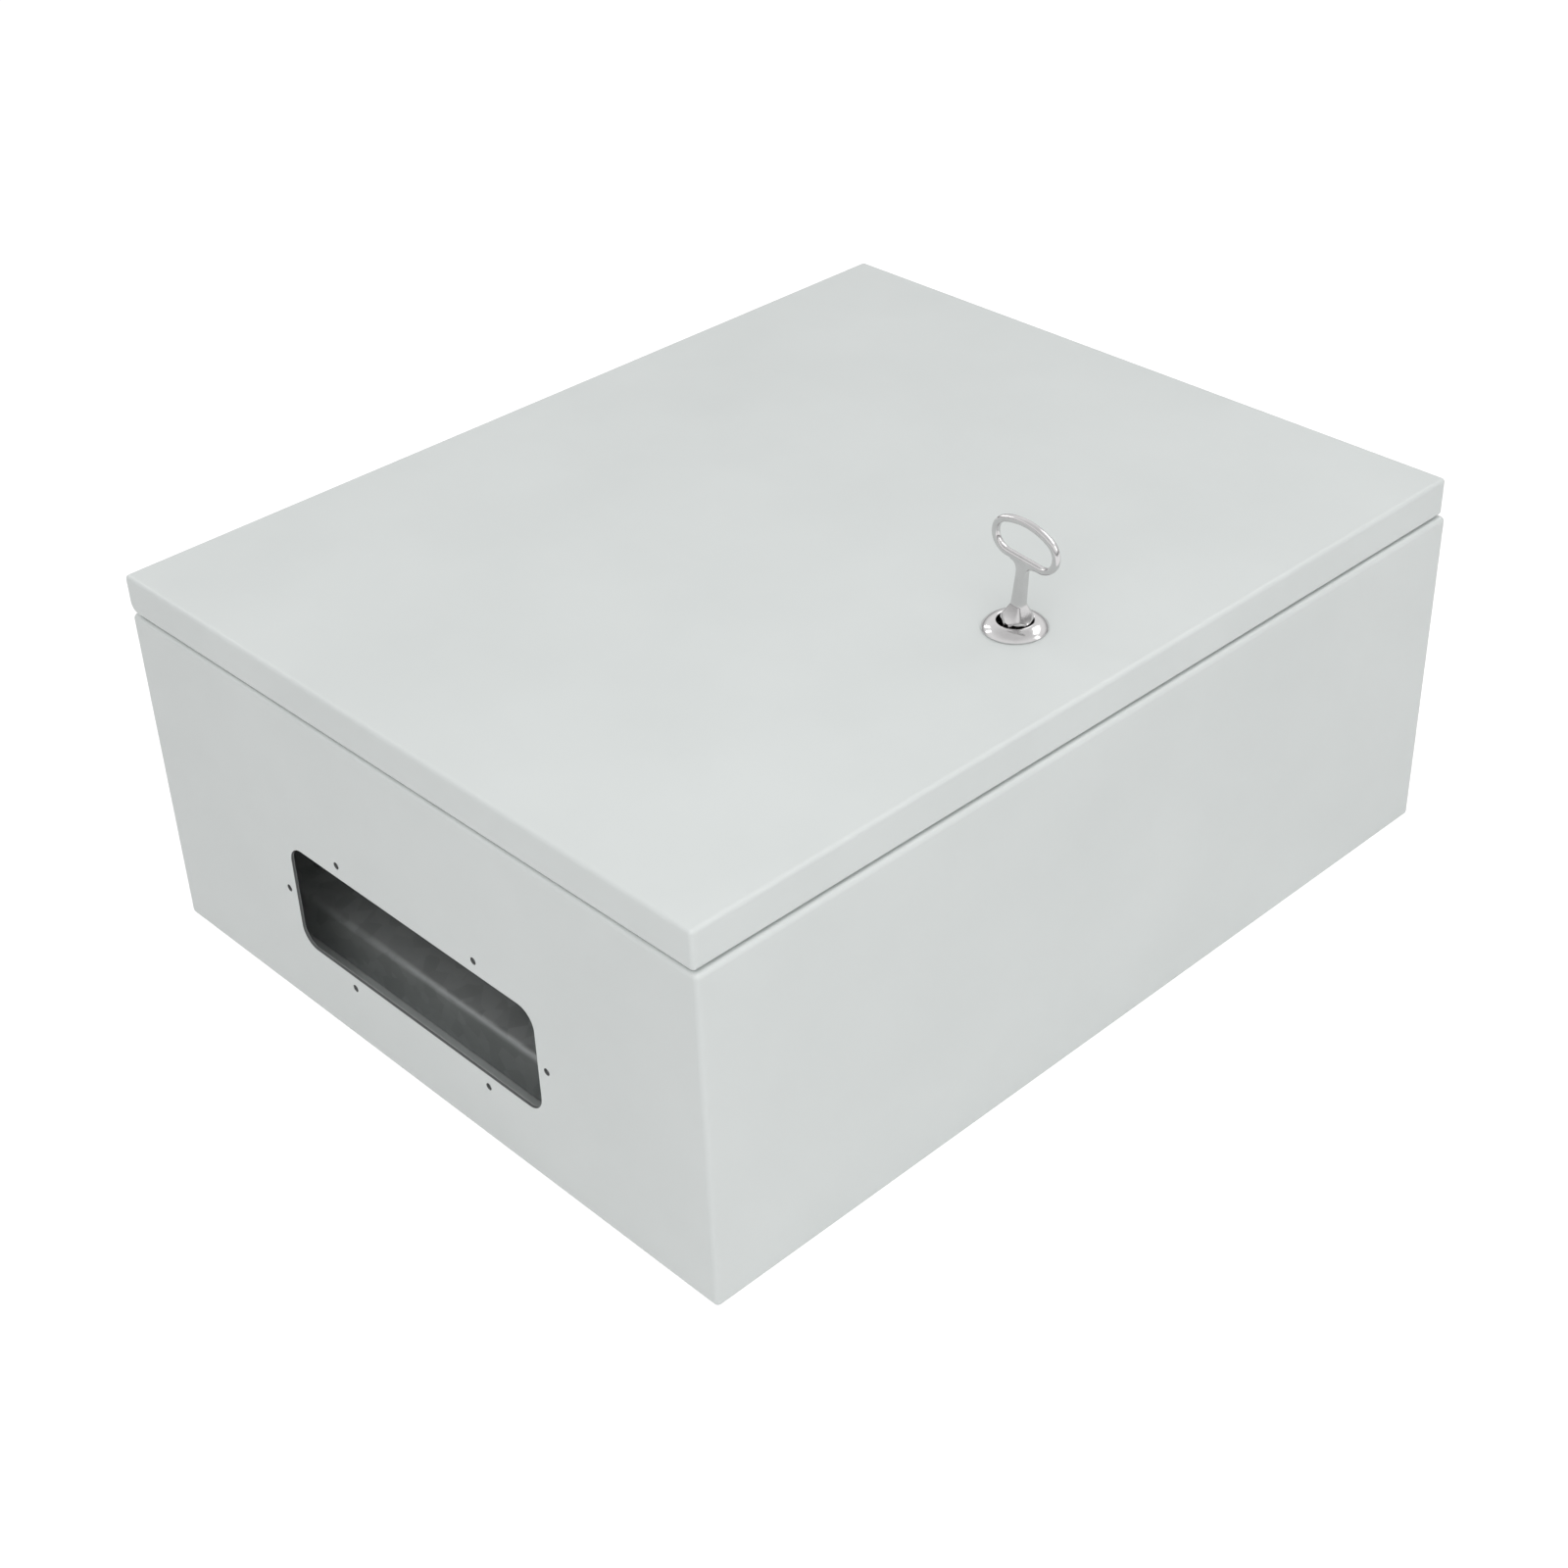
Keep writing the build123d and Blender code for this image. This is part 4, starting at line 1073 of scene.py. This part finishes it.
def bow_path():
    """Points on the bow's outside with the outward direction at each."""
    end_x = BOW_WIDTH / 2 - END_RADIUS
    rise = BOW_HEIGHT - END_RADIUS
    crown_z = (end_x ** 2 + END_RADIUS ** 2 - rise ** 2) / (2 * (END_RADIUS - rise))
    crown_radius = BOW_HEIGHT - crown_z
    join = math.atan2(END_RADIUS - crown_z, end_x)
    arcs = [
        (Vector((end_x, 0, END_RADIUS)), END_RADIUS, -math.pi / 2, join),
        (Vector((0, 0, crown_z)), crown_radius, join, math.pi - join),
        (Vector((-end_x, 0, END_RADIUS)), END_RADIUS, math.pi - join, 3 * math.pi / 2),
    ]
    path = []
    for heart, radius, start, end in arcs:
        for step in range(ARC_STEPS):
            angle = start + (end - start) * step / ARC_STEPS
            out = Vector((math.cos(angle), 0, math.sin(angle)))
            path.append((heart + radius * out, out))
    for step in range(CHORD_STEPS):
        path.append((Vector((-end_x + 2 * end_x * step / CHORD_STEPS, 0, 0)), Vector((0, 0, -1))))
    return path


def bow_mesh():
    """The loop, swept with its section inside the outline."""
    rings = []
    for point, out in bow_path():
        heart = point - out * BOW_WIRE / 2 + Vector((0, 0, bow_low))
        section = []
        for step in range(SECTION_STEPS):
            angle = 2 * math.pi * step / SECTION_STEPS
            reach = superellipse(BOW_WIRE / 2, BOW_THICKNESS / 2, SECTION_POWER)(angle)
            section.append(heart + out * reach * math.cos(angle) + Vector((0, reach * math.sin(angle), 0)))
        rings.append(section)
    return lattice(rings, hollow=True)


def joined(first, second):
    """One closed mesh from two that cross."""
    things = []
    for mesh in (first, second):
        data = bpy.data.meshes.new("half")
        mesh.to_mesh(data)
        things.append(added("half", data))
    union = things[0].modifiers.new("union", "BOOLEAN")
    union.operation = "UNION"
    union.solver = "EXACT"
    union.object = things[1]
    depsgraph = bpy.context.evaluated_depsgraph_get()
    result = bmesh.new()
    result.from_mesh(things[0].evaluated_get(depsgraph).to_mesh())
    bmesh.ops.triangulate(result, faces=[face for face in result.faces if len(face.verts) > 4])
    bmesh.ops.remove_doubles(result, verts=result.verts, dist=SLIVER)
    bmesh.ops.dissolve_degenerate(result, edges=result.edges, dist=SLIVER)
    bmesh.ops.holes_fill(result, edges=[edge for edge in result.edges if edge.is_boundary])
    for thing in things:
        data = thing.data
        bpy.data.objects.remove(thing)
        bpy.data.meshes.remove(data)
    return result


key_mesh = joined(stem, bow_mesh())
lean_about = Matrix.Translation(LOCK + Vector((0, 0, key_pivot)))
lean = lean_about @ Matrix.Rotation(KEY_LEAN, 4, "Y") @ Matrix.Translation((0, 0, -key_pivot))
piece("double_bit_key", "key", ["key"], bright, [key_mesh], [lean])

# %% [markdown]
# The camera is found by fitting: the box's corners in the photograph, taken as a frame of 1600 by 1600
# pixels, give its place, its direction, a slight roll and the lens.

# %% Camera
FRAME_PIXELS = 1600
SENSOR = 36.0
EYE = Vector((782.2, -739.3, 788.3)) * MM
AZIMUTH = math.radians(47.22)
ELEVATION = math.radians(34.45)
ROLL = math.radians(-2.18)
FOCAL_PIXELS = 2594.8
SIGHT = 50.0

camera = added("camera", bpy.data.cameras.new("camera"))
back = Vector((
    math.sin(AZIMUTH) * math.cos(ELEVATION), -math.cos(AZIMUTH) * math.cos(ELEVATION), math.sin(ELEVATION),
))
level_right = (-back).cross(Vector((0, 0, 1))).normalized()
level_up = back.cross(level_right)
right = math.cos(ROLL) * level_right + math.sin(ROLL) * level_up
up = math.cos(ROLL) * level_up - math.sin(ROLL) * level_right
camera.matrix_world = Matrix.Translation(EYE) @ Matrix((right, up, back)).transposed().to_4x4()
camera.data.sensor_width = SENSOR
camera.data.lens = FOCAL_PIXELS * SENSOR / FRAME_PIXELS
camera.data.clip_end = SIGHT
bpy.context.scene.camera = camera
print("lens", round(camera.data.lens, 2))

# %% [markdown]
# The photograph is a cut-out on white. The floor is a plain white board that catches light and shadow, and
# to the camera, and to glossy surfaces, it mostly glows at the level of white paper. So the background is
# white without any lamp being brighter for it, the metal mirrors the same white, and a trace of shadow
# stays. The world is white to the camera too. To mirrors it darkens towards the horizon and a little
# overhead, as a room does below and above its lamps, which gives the plated pieces their grey outlines.

# %% Floor and world
FLOOR_HALF = 6.0
FLOOR_GLOW = 0.8
GLOW_LEVEL = 1.22
WORLD_FILL = 0.46
ROOM_LOW = 0.3
ROOM_HEIGHT = 0.35
CEILING_LEVEL = 0.76
CEILING_START = 0.6
CEILING_END = 0.9


def is_ray(root, kind):
    """1 for rays of one kind, 0 for all others."""
    return root.node("ShaderNodeLightPath", output=f"Is {kind} Ray")


def seen_plainly(root):
    """1 for camera and transmission rays."""
    return root.math("MAXIMUM", is_ray(root, "Camera"), is_ray(root, "Transmission"))


floor_finish = bpy.data.materials.new("white_board")
floor_finish.use_nodes = True
tree = floor_finish.node_tree
tree.nodes.remove(tree.nodes["Principled BSDF"])
root = Wire(tree)
board = root.node("ShaderNodeBsdfDiffuse", {}, {"Color": colour(0.8, 0.8, 0.8)})
glow = root.node("ShaderNodeEmission", {}, {"Color": colour(1, 1, 1), "Strength": GLOW_LEVEL})
seen = root.math("MAXIMUM", seen_plainly(root), is_ray(root, "Glossy"))
mixed = root.node("ShaderNodeMixShader", {}, {0: FLOOR_GLOW * seen, 1: board, 2: glow})
tree.links.new(mixed.socket, tree.nodes["Material Output"].inputs["Surface"])

floor_mesh = bpy.data.meshes.new("floor")
round_it = ((-1, -1), (1, -1), (1, 1), (-1, 1))
floor_corners = [(x * FLOOR_HALF, y * FLOOR_HALF, 0) for x, y in round_it]
floor_mesh.from_pydata(floor_corners, [], [range(len(floor_corners))])
floor_mesh.materials.append(floor_finish)
floor = added("floor", floor_mesh)

world = bpy.data.worlds.new("studio")
bpy.context.scene.world = world
world.use_nodes = True
sky = Wire(world.node_tree)
direction = sky.node("ShaderNodeTexCoord", output="Generated")
height = sky.node("ShaderNodeSeparateXYZ", {}, {"Vector": direction}, "Z")
walls = height.spread(0.0, ROOM_HEIGHT, ROOM_LOW, 1.0)
room = walls * height.spread(CEILING_START, CEILING_END, 1.0, CEILING_LEVEL)
mirrored = is_ray(sky, "Glossy")
plain = seen_plainly(sky)
sky_level = plain + mirrored * room + (1 - plain - mirrored) * WORLD_FILL
world.node_tree.links.new(sky_level.socket, world.node_tree.nodes["Background"].inputs["Strength"])
world.node_tree.nodes["Background"].inputs["Color"].default_value = colour(1, 1, 1)
print("world fill", WORLD_FILL)

# %% [markdown]
# Soft boxes stand round the box as in a product studio. The key light is a wide one over the camera, near
# enough that the door grows darker towards the back. It is hidden from mirrors, where it would burn a white
# patch into the rosette's front. A box high behind puts the bright patch on the rosette's right and
# brightens the edges near the front corner. A tall one on the right lights that side and draws thin bright
# lines along the door's edge and the body's shoulder. Two narrow ones on the left put twin stripes on the
# rosette's left.

# %% Lamps
AIM = Vector((0.05, 0, 0.15))
KEY_POWER = 21.9
BACK_POWER = 2.9
RIGHT_POWER = 0.9
STRIP_POWER = 1.4


def soft_box(name, direction, distance, width, height, power):
    """An area lamp that looks at the box from a direction, with its power in watts."""
    light = bpy.data.lights.new(name, "AREA")
    light.shape = "RECTANGLE"
    light.size = width
    light.size_y = height
    light.energy = power
    lamp = added(name, light)
    way = Vector(direction).normalized()
    lamp.location = AIM + distance * way
    lamp.rotation_euler = way.to_track_quat("Z", "Y").to_euler()
    return lamp


lamps = [
    soft_box("key_light", (0.50, -0.44, 0.75), 1.7, 2.0, 2.0, KEY_POWER),
    soft_box("back_light", (0.20, 0.62, 0.70), 1.6, 1.0, 0.45, BACK_POWER),
    soft_box("right_light", (0.74, 0.48, 0.47), 1.6, 0.35, 0.6, RIGHT_POWER),
    soft_box("left_strip_near", (-0.80, -0.28, 0.53), 1.7, 0.12, 0.7, STRIP_POWER),
    soft_box("left_strip_far", (-0.88, 0.04, 0.47), 1.7, 0.12, 0.7, STRIP_POWER),
]
lamps[0].visible_glossy = False
print("lamps", len(lamps))

# %% [markdown]
# The view transform stays plain, so a colour renders about as it is written.

# %% View transform
bpy.context.scene.view_settings.view_transform = "Standard"
